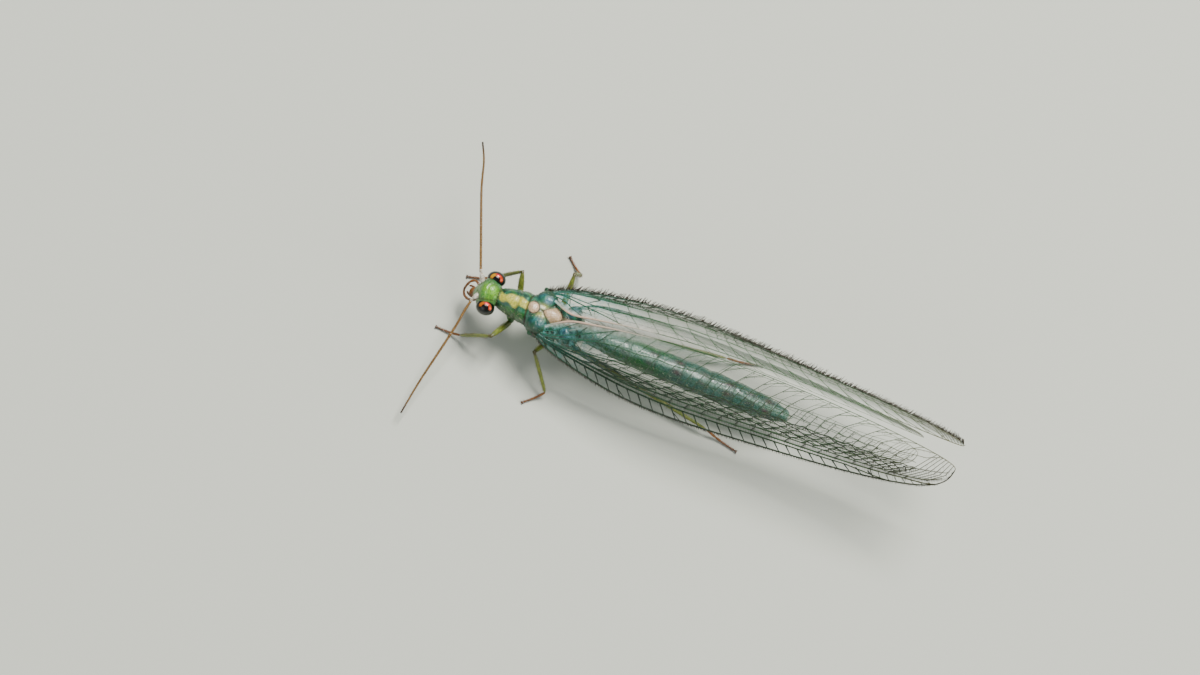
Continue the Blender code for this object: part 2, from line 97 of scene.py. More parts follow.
def photo_camera():
    """A camera that frames the insect as the photograph does."""
    back = Vector((math.sin(TILT), 0.0, math.cos(TILT)))
    across = Vector((-math.cos(TILT), 0.0, math.sin(TILT)))
    lengthwise = Vector((0.0, 1.0, 0.0))
    right = math.cos(BODY_ANGLE) * lengthwise + math.sin(BODY_ANGLE) * across
    up = math.cos(BODY_ANGLE) * across - math.sin(BODY_ANGLE) * lengthwise
    data = bpy.data.cameras.new("photo_camera")
    data.lens = LENS
    data.sensor_width = SENSOR
    data.clip_start = 1.0 * MM
    eye = TARGET + SHIFT + back * VIEW_WIDTH * LENS / SENSOR
    turn = Matrix((right, up, back)).transposed().to_4x4()
    camera = placed("photo_camera", data)
    camera.matrix_world = Matrix.Translation(eye * MM) @ turn
    return camera


bpy.context.scene.camera = photo_camera()
print("camera at", tuple(round(value * 1000, 1) for value in bpy.context.scene.camera.location), "mm")

# %% [markdown]
# ## Light and floor
# Museum light: a soft lamp high on one side, a wider and weaker one opposite, one behind, and a pale
# sky all round. Lamps for so small a thing stand centimetres away and need very little power. The
# floor is plain.

# %% Light and floor
LAMPS = (
    ("key_lamp", (-0.1, 0.02, 0.2), 0.08, 0.98, (1.0, 0.98, 0.94)),
    ("fill_lamp", (0.18, -0.08, 0.12), 0.16, 0.14, (0.92, 0.97, 1.0)),
    ("rear_lamp", (0.02, 0.22, 0.1), 0.1, 0.2, (1.0, 1.0, 1.0)),
)
SKY_COLOUR = (0.9, 0.95, 1.0, 1.0)
SKY_STRENGTH = 0.28
FLOOR_HALF = 0.6
FLOOR_COLOUR = (0.52, 0.54, 0.47, 1.0)
FLOOR_ROUGHNESS = 0.85


def soft_lamp(name, place, size, power, colour):
    """A square area lamp aimed at the insect; places and sizes in metres."""
    data = bpy.data.lights.new(name, "AREA")
    data.size = size
    data.energy = power
    data.color = colour
    lamp = placed(name, data)
    lamp.location = place
    lamp.rotation_euler = (-Vector(place)).to_track_quat("-Z", "Y").to_euler()


def pale_floor():
    """A plain floor just under the feet."""
    mesh = bpy.data.meshes.new("floor")
    signs = ((-1, -1), (1, -1), (1, 1), (-1, 1))
    mesh.from_pydata([(x * FLOOR_HALF, y * FLOOR_HALF, 0.0) for x, y in signs], [], [(0, 1, 2, 3)])
    material = bpy.data.materials.new("floor_card")
    material.use_nodes = True
    shader = material.node_tree.nodes["Principled BSDF"]
    shader.inputs["Base Color"].default_value = FLOOR_COLOUR
    shader.inputs["Roughness"].default_value = FLOOR_ROUGHNESS
    mesh.materials.append(material)
    floor = placed("floor", mesh)


for lamp in LAMPS:
    soft_lamp(*lamp)
sky = bpy.data.worlds.new("sky")
sky.use_nodes = True
sky.node_tree.nodes["Background"].inputs["Color"].default_value = SKY_COLOUR
sky.node_tree.nodes["Background"].inputs["Strength"].default_value = SKY_STRENGTH
bpy.context.scene.world = sky
pale_floor()
print(len(LAMPS), "lamps and a floor")

# %% [markdown]
# ## Helpers for shapes
# A lacewing's outlines are smooth curves through a few measured stations, so two helpers read such
# curves: one for a value at a place, one for a path in space. Others make the two forms that most of
# the body is built from: a rounded lump, and a form drawn out along the body through its sections.

# %% Helpers for shapes
def along(stations, place, column=1):
    """Read one column of a smooth curve through the stations."""
    places = [station[0] for station in stations]
    values = [station[column] for station in stations]
    last = len(places) - 1
    place = min(max(place, places[0]), places[-1])
    step = max(index for index in range(last) if places[index] <= place)
    width = places[step + 1] - places[step]
    share = (place - places[step]) / width
    slopes = []
    for index in (step, step + 1):
        before, after = max(index - 1, 0), min(index + 1, last)
        slopes.append((values[after] - values[before]) / (places[after] - places[before]) * width)
    rise = share * share * (3 - 2 * share)
    sway = share * (1 - share) * (slopes[0] * (1 - share) - slopes[1] * share)
    return values[step] + (values[step + 1] - values[step]) * rise + sway


def smooth_path(points, count):
    """Points at even shares along a smooth curve through the given ones."""
    points = np.array(points, float)
    lengths = np.linalg.norm(np.diff(points, axis=0), axis=1)
    places = np.concatenate([[0.0], np.cumsum(lengths)])
    stations = [(place, *point) for place, point in zip(places, points)]
    samples = np.linspace(0.0, places[-1], count)
    return np.array([[along(stations, place, column) for column in (1, 2, 3)] for place in samples])


def ease(value, low, high):
    """0 below low, 1 above high and a soft rise between, for numbers or arrays."""
    share = np.clip((value - low) / (high - low), 0.0, 1.0)
    return share * share * (3.0 - 2.0 * share)


def bell(distance, width):
    """1 at distance 0, falling softly to nothing beyond the width."""
    return np.exp(-((distance / width) ** 2))


def mesh_of(bm, name):
    """A form's faces as a mesh."""
    mesh = bpy.data.meshes.new(name)
    bm.to_mesh(mesh)
    bm.free()
    return mesh


def lump(centre, half_sizes, tilt=0.0, sides=48, rings=32):
    """A rounded lump, tipped by tilt degrees about the X axis."""
    bm = bmesh.new()
    size = Matrix.Diagonal((*half_sizes, 1.0))
    place = Matrix.Translation(centre) @ Matrix.Rotation(math.radians(tilt), 4, "X") @ size
    bmesh.ops.create_uvsphere(bm, u_segments=sides, v_segments=rings, radius=1.0, matrix=place)
    return bm


def drawn_form(sections, blunt, relief=None, rings=120):
    """A closed form along Y through sections of (y, half width, bottom, top)."""
    bm = bmesh.new()
    bmesh.ops.create_uvsphere(bm, u_segments=72, v_segments=rings, radius=1.0)
    start = sections[0][0]
    length = sections[-1][0] - start
    for vert in bm.verts:
        share = math.acos(max(-1.0, min(1.0, vert.co.z))) / math.pi
        around = math.atan2(vert.co.y, vert.co.x)
        reach = max(0.0, 1.0 - abs(2.0 * share - 1.0) ** blunt) ** (1.0 / blunt)
        y = start + length * share
        if relief:
            reach *= relief(y)
        half, bottom, top = (along(sections, y, column) for column in (1, 2, 3))
        rise = (top - bottom) / 2 * reach * math.sin(around)
        vert.co = (half * reach * math.cos(around), y, (top + bottom) / 2 + rise)
    return bm


def cone_between(start, end, start_radius, end_radius, steps=9):
    """A round-ended limb between two points, as a string of lumps fused later."""
    bm = bmesh.new()
    for share in np.linspace(0.0, 1.0, steps):
        place = Matrix.Translation(Vector(start).lerp(Vector(end), share))
        radius = start_radius + (end_radius - start_radius) * share
        bmesh.ops.create_icosphere(bm, subdivisions=3, radius=radius, matrix=place)
    return bm


# %% [markdown]
# ## Helpers for finishes and trees
# Shader trees and Geometry Nodes trees are both built from nodes and links, so both kinds share one
# short call that adds a node and links or sets its inputs. Patterns read the object's own
# coordinates, brought back to the design's millimetres: a scale of 10 means ten bumps to the
# millimetre. Colours are given on a 0 to 255 scale.

# %% Helpers for finishes and trees
def shade(red, green, blue):
    """A colour given on a 0 to 255 scale, as the linear values that a shader needs."""
    values = [value / 255.0 for value in (red, green, blue)]
    return (*[v / 12.92 if v <= 0.04045 else ((v + 0.055) / 1.055) ** 2.4 for v in values], 1.0)


class Nodes:
    """A node tree in the making."""

    def feed(self, node, links):
        """Link or set inputs of a node, by name or number."""
        for label, source in links.items():
            if isinstance(source, bpy.types.NodeSocket):
                self.tree.links.new(source, node.inputs[label])
            else:
                node.inputs[label].default_value = source
        return node

    def node(self, kind, links=None, **settings):
        """Add a node with its settings and inputs."""
        node = self.tree.nodes.new(kind)
        for key, value in settings.items():
            setattr(node, key, value)
        return self.feed(node, links or {})

    def add(self, kind, links=None, pick=0, **settings):
        """Add a node and return one of its outputs."""
        return self.node(kind, links, **settings).outputs[pick]

    def maths(self, operation, *values):
        """One step of arithmetic on values."""
        return self.add("ShaderNodeMath", dict(enumerate(values)), operation=operation)

    def parts(self, vector):
        """The x, y and z of a vector."""
        return self.node("ShaderNodeSeparateXYZ", {0: vector}).outputs

    def joined(self, *values):
        """A vector from its x, y and z."""
        return self.add("ShaderNodeCombineXYZ", dict(enumerate(values)))


class Finish(Nodes):
    """A material in the making."""

    def __init__(self, name, roughness=0.4, coat=0.0):
        self.material = bpy.data.materials.new(name)
        self.material.use_nodes = True
        self.tree = self.material.node_tree
        self.shader = self.tree.nodes["Principled BSDF"]
        self.feed(self.shader, {"Roughness": roughness, "Coat Weight": coat})
        source = self.add("ShaderNodeTexCoord", pick="Object")
        links = {"Vector": source, "Location": -SHIFT, "Scale": (1.0 / MM,) * 3}
        self.place = self.add("ShaderNodeMapping", links)

    def noise(self, scale, detail=3.0):
        """A cloudy pattern with about scale clouds to the millimetre."""
        links = {"Vector": self.place, "Scale": scale, "Detail": detail}
        return self.add("ShaderNodeTexNoise", links, "Fac")

    def cells(self, scale):
        """A pattern of small cells, bright at their edges."""
        return self.add("ShaderNodeTexVoronoi", {"Vector": self.place, "Scale": scale}, "Distance")

    def mask(self, name):
        """A mask that was painted on the mesh's points."""
        return self.add("ShaderNodeAttribute", pick="Fac", attribute_name=name)

    def ramp(self, factor, *stops):
        """Colours along a factor: each stop is a position and a colour."""
        node = self.node("ShaderNodeValToRGB", {0: factor})
        elements = node.color_ramp.elements
        while len(elements) < len(stops):
            elements.new(1.0)
        for element, (position, *colour) in zip(elements, stops):
            element.position = position
            element.color = shade(*colour)
        return node.outputs[0]

    def lay(self, factor, first, second, mode="MIX"):
        """Lay the second colour over the first, by a factor or by a painted mask's name."""
        factor = self.mask(factor) if isinstance(factor, str) else factor
        second = shade(*second) if isinstance(second, tuple) else second
        links = {0: factor, 6: first, 7: second}
        return self.add("ShaderNodeMix", links, 2, data_type="RGBA", blend_type=mode)

    def stretch(self, value, low, high, bottom, top, **settings):
        """Turn the span from low to high into the span from bottom to top."""
        links = dict(enumerate((value, low, high, bottom, top)))
        return self.add("ShaderNodeMapRange", links, **settings)

    def finished(self, colour, bumps=None, sockets=None):
        """Join colour, bumps (height, depth in millimetres, strength) and other sockets."""
        self.feed(self.shader, {"Base Color": colour, **(sockets or {})})
        if bumps:
            height, depth, strength = bumps
            links = {"Height": height, "Distance": depth * MM, "Strength": strength}
            self.feed(self.shader, {"Normal": self.add("ShaderNodeBump", links, "Normal")})
        return self.material


class Growth(Nodes):
    """A Geometry Nodes tree in the making, with named inputs of (label, kind, value)."""

    def __init__(self, name, *inputs):
        self.tree = bpy.data.node_groups.new(name, "GeometryNodeTree")
        self.tree.is_modifier = True
        new_socket = self.tree.interface.new_socket
        for way in ("INPUT", "OUTPUT"):
            new_socket("Geometry", in_out=way, socket_type="NodeSocketGeometry")
        for label, kind, value in inputs:
            new_socket(label, in_out="INPUT", socket_type="NodeSocket" + kind).default_value = value
        new_socket("Finish", in_out="INPUT", socket_type="NodeSocketMaterial")
        self.given = self.tree.nodes.new("NodeGroupInput").outputs

    def field(self, name, kind="FLOAT"):
        """Read an attribute of the incoming geometry."""
        return self.add("GeometryNodeInputNamedAttribute", {"Name": name}, "Attribute", data_type=kind)

    def spike(self, tip):
        """A three-sided spike, one long."""
        links = {"Vertices": 3, "Side Segments": 2, "Radius Bottom": self.given["Root Width"], "Depth": 1.0}
        return self.add("GeometryNodeMeshCone", {**links, "Radius Top": tip})

    def turned(self, way):
        """A turn that points the Z axis along a way."""
        return self.add("FunctionNodeAlignRotationToVector", {"Vector": way}, axis="Z")

    def scattered(self, points, form, rotation, *size):
        """Set a form on every point, turned and sized, and close the tree."""
        links = {"Points": points, "Instance": form, "Rotation": rotation, "Scale": self.joined(*size)}
        return self.finished(self.add("GeometryNodeInstanceOnPoints", links))

    def finished(self, geometry):
        """Make all instances real, give them their finish and close the tree."""
        real = self.add("GeometryNodeRealizeInstances", {"Geometry": geometry})
        shown = self.add("GeometryNodeSetMaterial", {"Geometry": real, "Material": self.given["Finish"]})
        self.node("NodeGroupOutput", {0: shown})
        return self.tree


def evaluated(carrier):
    """The mesh that an object's modifiers make, with the carrier removed."""
    depsgraph = bpy.context.evaluated_depsgraph_get()
    mesh = bpy.data.meshes.new_from_object(carrier.evaluated_get(depsgraph))
    carrier.modifiers.clear()
    bpy.data.objects.remove(carrier)
    return mesh


def grow(mesh, tree, values):
    """Run a tree on a mesh and return the result as a plain mesh."""
    carrier = placed("carrier", mesh)
    modifier = carrier.modifiers.new("tree", "NODES")
    modifier.node_group = tree
    for item in tree.interface.items_tree:
        if item.name in values:
            modifier[item.identifier] = values[item.name]
    return evaluated(carrier)


def set_piece(name, mesh, nodes=()):
    """Bring a finished mesh to metres and into the frame, as one piece of the body."""
    mesh.transform(INTO_FRAME)
    mesh.shade_smooth()
    piece = placed(name, mesh)
    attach(piece, "root")
    if nodes:
        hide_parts(*nodes)
    print(name, len(mesh.polygons), "faces")


# %% [markdown]
# ## The body's form
# Head, collar, thorax and abdomen are plates of one skin, so they are one piece. The forms are laid
# into each other as lumps and drawn-out shapes and fused by a voxel remesh, which leaves the creases
# between the plates and no inner walls. Smoothing then softens them as real skin does.

# %% The body's form
NECK = ((-1.72, 0.32, 1.4, 2.12), (-1.5, 0.32, 1.38, 2.14), (-1.2, 0.32, 1.4, 2.14))
COLLAR = (
    (-1.5, 0.335, 1.38, 2.17),
    (-1.3, 0.37, 1.36, 2.21),
    (-0.95, 0.45, 1.31, 2.27),
    (-0.48, 0.53, 1.22, 2.33),
)
THORAX = (
    (-0.86, 0.46, 1.26, 2.24),
    (-0.55, 0.55, 1.16, 2.29),
    (-0.3, 0.58, 1.13, 2.28),
    (-0.05, 0.64, 1.1, 2.26),
    (0.25, 0.62, 1.08, 2.23),
    (0.6, 0.53, 1.06, 2.12),
    (0.95, 0.53, 1.08, 2.07),
    (1.45, 0.4, 1.14, 1.98),
)
ABDOMEN = (
    (1.2, 0.34, 1.18, 1.99),
    (1.6, 0.36, 1.16, 1.98),
    (3.0, 0.42, 1.08, 1.92),
    (5.5, 0.44, 0.98, 1.8),
    (7.3, 0.41, 0.89, 1.65),
    (8.12, 0.36, 0.86, 1.53),
)
MIDDLE_LUMPS = (
    ((0.0, -1.84, 1.86), (0.46, 0.33, 0.48)),
    ((0.0, -1.66, 1.86), (0.4, 0.23, 0.38)),
    ((0.0, -1.78, 2.1), (0.33, 0.29, 0.22), 10.0),
    ((0.0, -2.06, 1.8), (0.27, 0.16, 0.3), -10.0),
    ((0.0, -2.11, 1.58), (0.25, 0.16, 0.24), -14.0),
    ((0.0, -2.18, 1.34), (0.18, 0.11, 0.14), -20.0),
    ((0.0, -0.35, 2.215), (0.24, 0.22, 0.1)),
    ((0.0, 0.27, 2.17), (0.22, 0.36, 0.12), -5.0),
    ((0.0, 0.98, 2.0), (0.16, 0.24, 0.12)),
)
SIDE_LUMPS = (
    ((0.2, -2.05, 1.95), (0.13, 0.1, 0.13)),
    ((0.25, -1.93, 1.5), (0.18, 0.2, 0.2)),
    ((0.37, -0.05, 2.04), (0.34, 0.36, 0.25), 5.0),
    ((0.62, -0.06, 1.93), (0.18, 0.2, 0.14)),
    ((0.73, -0.2, 1.97), (0.09, 0.08, 0.06)),
    ((0.76, -0.05, 1.95), (0.07, 0.11, 0.05)),
    ((0.33, 0.88, 1.93), (0.27, 0.28, 0.2)),
    ((0.52, 0.92, 1.88), (0.13, 0.16, 0.1)),
    ((0.4, 0.02, 1.45), (0.27, 0.44, 0.34)),
    ((0.38, 0.92, 1.44), (0.22, 0.34, 0.32)),
    ((0.06, 7.98, 1.2), (0.17, 0.23, 0.25)),
)
HIPS = (
    ((0.16, -0.98, 1.42), (0.3, -0.9, 0.88), 0.2, 0.11),
    ((0.26, 0.34, 1.22), (0.34, 0.44, 0.66), 0.24, 0.13),
    ((0.24, 1.02, 1.22), (0.31, 1.1, 0.62), 0.23, 0.13),
)
FURROW_Y = -0.86
PLATE_EDGES = (2.02, 2.86, 3.72, 4.6, 5.48, 6.3, 7.02, 7.6)
VOXEL = 0.024
SOFTENING = 7


def collar_relief(y):
    """The collar's shallow cross furrow and the step behind it."""
    return 1.0 - 0.05 * bell(y - FURROW_Y, 0.05) + 0.02 * bell(y + 0.62, 0.06)


def abdomen_relief(y):
    """Each plate swells a little and slips under the next one."""
    edges = (ABDOMEN[0][0], *PLATE_EDGES, ABDOMEN[-1][0])
    index = max(number for number in range(len(edges) - 1) if edges[number] <= y or number == 0)
    share = max(0.0, min(1.0, (y - edges[index]) / (edges[index + 1] - edges[index])))
    return 1.0 - 0.055 * share**5 + 0.015 * math.sin(math.pi * share)


def body_forms():
    """Every lump and drawn form of the body, to be fused."""
    forms = [
        drawn_form(NECK, 4.0, rings=40),
        drawn_form(COLLAR, 5.5, collar_relief),
        drawn_form(THORAX, 3.4),
        drawn_form(ABDOMEN, 3.8, abdomen_relief, rings=260),
    ]
    forms += [lump(*values) for values in MIDDLE_LUMPS]
    for side in (-1.0, 1.0):
        forms += [lump((side * x, y, z), *rest) for (x, y, z), *rest in SIDE_LUMPS]
        for (x, y, z), (end_x, end_y, end_z), *radii in HIPS:
            forms.append(cone_between((side * x, y, z), (side * end_x, end_y, end_z), *radii))
    return forms


def fused(forms):
    """Fuse the forms into one closed skin."""
    joined = bmesh.new()
    for form in forms:
        part = mesh_of(form, "part")
        joined.from_mesh(part)
        bpy.data.meshes.remove(part)
    carrier = placed("carrier", mesh_of(joined, "body"))
    remesh = carrier.modifiers.new("fuse", "REMESH")
    remesh.mode = "VOXEL"
    remesh.voxel_size = VOXEL
    smooth = carrier.modifiers.new("soften", "SMOOTH")
    smooth.factor = 0.5
    smooth.iterations = SOFTENING
    skin = evaluated(carrier)
    skin.materials.clear()
    return skin


body_skin = fused(body_forms())
print("body skin", len(body_skin.vertices), "points")

# %% [markdown]
# ## Sutures of the body
# The plates meet in thin dark seams. Each one follows the anatomy, so it is laid by a rule on the
# skin's own points: the distance to a line, a circle or a plate's edge. The seams are sunk into the
# mesh, so that they are real grooves, and kept as a mask that darkens them later.

# %% Sutures of the body
def points_of(mesh, what="co"):
    """All points of a mesh, or their normals, as an array."""
    values = np.empty(len(mesh.vertices) * 3)
    mesh.vertices.foreach_get(what, values)
    return values.reshape(-1, 3)


def ripple(points, scale, seed):
    """A soft irregular wave over the points, from about -1 to 1."""
    waves = np.random.default_rng(seed)
    total = np.zeros(len(points))
    for _ in range(5):
        direction = waves.normal(size=3)
        direction *= scale * waves.uniform(0.6, 1.5) / np.linalg.norm(direction)
        total += np.sin(points @ direction + waves.uniform(0.0, 6.3))
    return total / 2.5


def keep(mesh, name, values, kind="FLOAT"):
    """Store values on the mesh's points under a name."""
    layer = mesh.attributes.new(name, kind, "POINT")
    values = np.asarray(values, np.float32).ravel()
    layer.data.foreach_set("value" if kind == "FLOAT" else "vector", values)


def paint(mesh, **masks):
    """Keep masks, each an array or one value, on the mesh's points."""
    for name, values in masks.items():
        keep(mesh, name, np.clip(np.broadcast_to(values, len(mesh.vertices)), 0.0, 1.0))


def line_distance(points, path):
    """Distance seen from above between each point and a path of (x, y)."""
    best = np.full(len(points), 1e9)
    for start, end in zip(path[:-1], path[1:]):
        way = np.subtract(end, start)
        offset = points[:, :2] - start
        share = np.clip(offset @ way / (way @ way), 0.0, 1.0)
        best = np.minimum(best, np.linalg.norm(offset - share[:, None] * way, axis=1))
    return best


SCUTELLUM_FRONT = ((0.0, -0.05), (0.1, 0.03), (0.24, 0.18), (0.4, 0.3), (0.58, 0.32))
SCUTELLUM_REAR = ((0.0, 0.6), (0.07, 0.585), (0.2, 0.5), (0.34, 0.46), (0.52, 0.44))
MIDDLE_SEAM = ((0.0, -0.18), (0.0, -0.04))
LAST_SHIELD = ((0.1, 0.62), (0.13, 0.95), (0.0, 1.12))
FLANK_SEAMS = (-0.28, 0.18, 0.62, 1.08)
LEAST_DARK_WIDTH = 0.017


def seams(points, up):
    """How much each point lies in a seam between plates, and how deep that seam is."""
    x, y, z = points.T
    side = np.abs(x)
    mirrored = np.column_stack([side, y, z])
    above = ease(up, -0.1, 0.35)
    sidewall = ease(side, 0.25, 0.4) * (1.0 - above)
    found = []

    def seam(distance, width, darkness, depth, where=1.0):
        dark = bell(distance, max(width, LEAST_DARK_WIDTH)) * darkness * where
        found.append((dark, bell(distance, width * 1.3) * depth * where))

    seam(y + 1.49 - 0.25 * side**2, 0.02, 0.9, 0.034)
    seam(y + 0.545 - 0.3 * side**2, 0.018, 1.0, 0.026)
    seam(y - FURROW_Y, 0.03, 0.2, 0.018, above)
    seam(np.hypot(x, y + 0.36) - 0.19, 0.016, 1.0, 0.014, above * ease(y, -0.5, -0.4))
    seam(x, 0.008, 0.4, 0.004, above * bell(y + 0.36, 0.13))
    seam(line_distance(mirrored, SCUTELLUM_FRONT), 0.017, 1.0, 0.022, above)
    seam(line_distance(mirrored, SCUTELLUM_REAR), 0.018, 1.0, 0.026, above)
    seam(line_distance(points, MIDDLE_SEAM), 0.015, 0.9, 0.012, above)
    seam(np.hypot(side / 1.3, y + 1.71) - 0.165, 0.026, 0.12, 0.02, above)
    seam(line_distance(mirrored, LAST_SHIELD), 0.012, 0.6, 0.012, above)
    seam(y - 1.26 - 0.1 * side, 0.022, 0.7, 0.03)
    for edge in PLATE_EDGES:
        seam(y - edge - 0.06 * side, 0.018, 0.45, 0.014)
    rear = ease(y, 1.2, 1.5) * ease(side, 0.2, 0.3)
    seam(z - 1.6 + 0.055 * (y - 1.2), 0.016, 0.4, 0.014, rear)
    for start in FLANK_SEAMS:
        seam(y - start - 0.35 * (z - 1.5), 0.018, 0.5, 0.022, sidewall * bell(z - 1.6, 0.45))
    eye_rim = np.sqrt((side - 0.4) ** 2 + (y + 1.75) ** 2 + (z - 1.87) ** 2)
    seam(eye_rim - 0.335, 0.02, 0.35, 0.014, 1.0 - ease(y, -1.45, -1.4))
    seam(z - 1.47 - 0.3 * side**2, 0.016, 0.7, 0.016, ease(-y, 2.0, 2.1))
    socket = np.hypot(side - 0.2, z - 1.95)
    seam(socket - 0.115, 0.016, 0.5, 0.018, ease(-y, 1.98, 2.05))
    return [np.maximum.reduce(layers) for layers in zip(*found)]


skin_points = points_of(body_skin)
skin_normals = points_of(body_skin, "normal")
seam_dark, seam_depth = seams(skin_points, skin_normals[:, 2])
wrinkles = 0.004 * ripple(skin_points, 30.0, 2) + 0.003 * ripple(skin_points, 60.0, 3)
skin_points += skin_normals * (wrinkles - seam_depth)[:, None]
body_skin.vertices.foreach_set("co", skin_points.ravel())
body_skin.update()
print("deepest seam", round(float(seam_depth.max()), 3), "mm")

# %% [markdown]
# ## Markings and painted shade of the body
# The back has pale plates, a yellow band along the collar, blue-green lobes that also carry a painted
# blue sheen, and a pale line down the abdomen. The shadow zone, and the deep green on the collar's
# left side, are painted shade. Every zone is a soft mask with a ragged edge, painted on the points by
# where they lie on the body and which way they face.

# %% Markings of the body
DARK_DOTS = ((0.19, -0.4, 0.03), (-0.19, -0.38, 0.022), (-0.42, 0.66, 0.03), (0.42, 0.66, 0.03))
CHEEK_MARK = np.array((0.3, 2.06, 1.52))
CHEEK_SIZE = 0.09


def body_masks(points, up):
    """The coloured zones of the skin and its painted shade, each as a soft mask."""
    x, y, z = points.T
    x = x + 0.02 * ripple(points, 9.0, 5)
    y = y + 0.02 * ripple(points, 11.0, 6)
    side = np.abs(x)
    above = ease(up, 0.0, 0.5)
    head = 1.0 - ease(y, -1.5, -1.42)
    collar = ease(y, -1.48, -1.42) * (1.0 - ease(y, -0.56, -0.5))
    hind = ease(y, 1.2, 1.35)
    crown = bell(side, 0.42) * bell(y + 1.74, 0.36) * above
    band = (1.0 - ease(side + 0.05 * ripple(points, 16.0, 7), 0.1, 0.17)) * above
    rims = above * bell(side - 0.13, 0.1) * bell(y + 0.05, 0.16)
    mottles = ease(ripple(points, 26.0, 9), 0.1, 0.8)
    shield = (1.0 - ease(np.hypot(x, y + 0.36), 0.15, 0.2)) * above
    rear_shield = above * (1.0 - ease(side - 0.23 + 0.62 * np.abs(y - 0.32), 0.0, 0.07))
    rear_shield = rear_shield * ease(y, -0.04, 0.02) * (1.0 - ease(y, 0.56, 0.62))
    wedge = above * (1.0 - ease(side, 0.05, 0.12)) * bell(y - 0.8, 0.22)
    lobes = bell(side - 0.42, 0.2) * bell(y + 0.06, 0.19) * above
    rear_lobes = bell(side - 0.35, 0.2) * bell(y - 0.88, 0.2) * above
    spread = 0.1 * (1.0 - ease(y, 2.4, 4.4))
    midline = (1.0 - ease(side + 0.05 * ripple(points, 6.0, 8) - spread, 0.0, 0.13)) * above
    spots = np.zeros(len(points))
    for number, edge in enumerate(PLATE_EDGES):
        weight = 0.55 + 0.45 * (number % 2) * float(edge > 3.0)
        spots += bell(y - edge + 0.16, 0.15) * bell(side - 0.15, 0.08) * weight
    flank = ease(side, 0.16, 0.26) * ease(up, -0.7, -0.3) * (1.0 - ease(y, 3.2, 4.8))
    # Painted shade: under_wing darkens the sides under the wings, low_band the low sides of the collar and
    # low_lobe the animal's left side of the thorax. Together they make the shadow zone.
    under_wing = ease(side, 0.45, 0.6) * (1.0 - hind) * (1.0 - head) * (1.0 - collar)
    low_lobe = ease(x, 0.36, 0.6) * ease(y, -0.5, -0.3) * (1.0 - hind)
    low_band = collar * bell(z - 1.72, 0.2) * ease(side, 0.2, 0.3)
    return {
        "lime": head * np.maximum(0.4, crown) * (1.0 - 0.6 * ease(-x, 0.05, 0.28)),
        "yellow": np.maximum(collar * band, 0.75 * rims),
        "moss": collar * ease(side, 0.14, 0.24) * mottles,
        "cream": np.maximum.reduce([shield, rear_shield, wedge]),
        # blue: the thorax lobes' blue-green tint, together with a painted blue sheen.
        "blue": 1.2 * np.maximum(lobes, rear_lobes) * (0.75 + 0.45 * ripple(points, 17.0, 10)),
        "pale_line": hind * midline,
        "tail": hind * ease(y, 3.0, 4.6),
        "rose": hind * spots * above,
        # deep: real deep green on the abdomen's flanks, and painted shade on the collar's left side.
        "deep": np.maximum(0.9 * hind * flank, collar * ease(x, 0.2, 0.34)),
        "shadow": np.maximum.reduce([0.8 * under_wing, low_band, 0.75 * low_lobe]),
        "belly": 1.0 - ease(up, -0.65, -0.15),
    }


dots = np.zeros(len(skin_points))
for dot_x, dot_y, dot_size in DARK_DOTS:
    dots = np.maximum(dots, bell(np.hypot(skin_points[:, 0] - dot_x, skin_points[:, 1] - dot_y), dot_size))
masks = body_masks(skin_points, skin_normals[:, 2])
masks["seam"] = seam_dark
cheek = 0.9 * bell(np.linalg.norm(np.abs(skin_points) - CHEEK_MARK, axis=1), CHEEK_SIZE)
masks["dot"] = np.maximum(dots * (skin_normals[:, 2] > 0.1), cheek)
paint(body_skin, **masks)
print("painted", list(masks))

# %% [markdown]
# ## The skin's finish
# Live skin is waxy: green light glows through it a little, fine pits break up the gloss, and the
# colour is never even. The tree starts from a clouded green, lays each painted zone over it with
# its own clouding, and darkens the seams last. A thin coat gives the wet-looking highlights.

# %% The skin's finish
SKIN_ZONES = (
    ("tail", (62, 108, 92), (20, 58, 48)),
    ("belly", (140, 168, 84), (104, 146, 72)),
    # deep: real deep green on the abdomen's flanks, and painted shade on the collar's left side.
    ("deep", (22, 104, 16), (8, 62, 14)),
    ("moss", (58, 122, 44), (16, 66, 28)),
    # blue: the thorax lobes' blue-green tint, together with a painted blue sheen.
    ("blue", (60, 126, 138), (34, 74, 104)),
    # shadow: painted shade under the wings and on the low sides of collar and thorax.
    ("shadow", (18, 62, 30), (24, 50, 14)),
    ("pale_line", (128, 156, 138), (60, 110, 92)),
    ("rose", (84, 60, 62), (44, 40, 38)),
    ("yellow", (200, 190, 78), (146, 150, 40)),
    ("lime", (132, 190, 34), (70, 140, 20)),
    ("cream", (202, 174, 142), (164, 136, 94)),
)


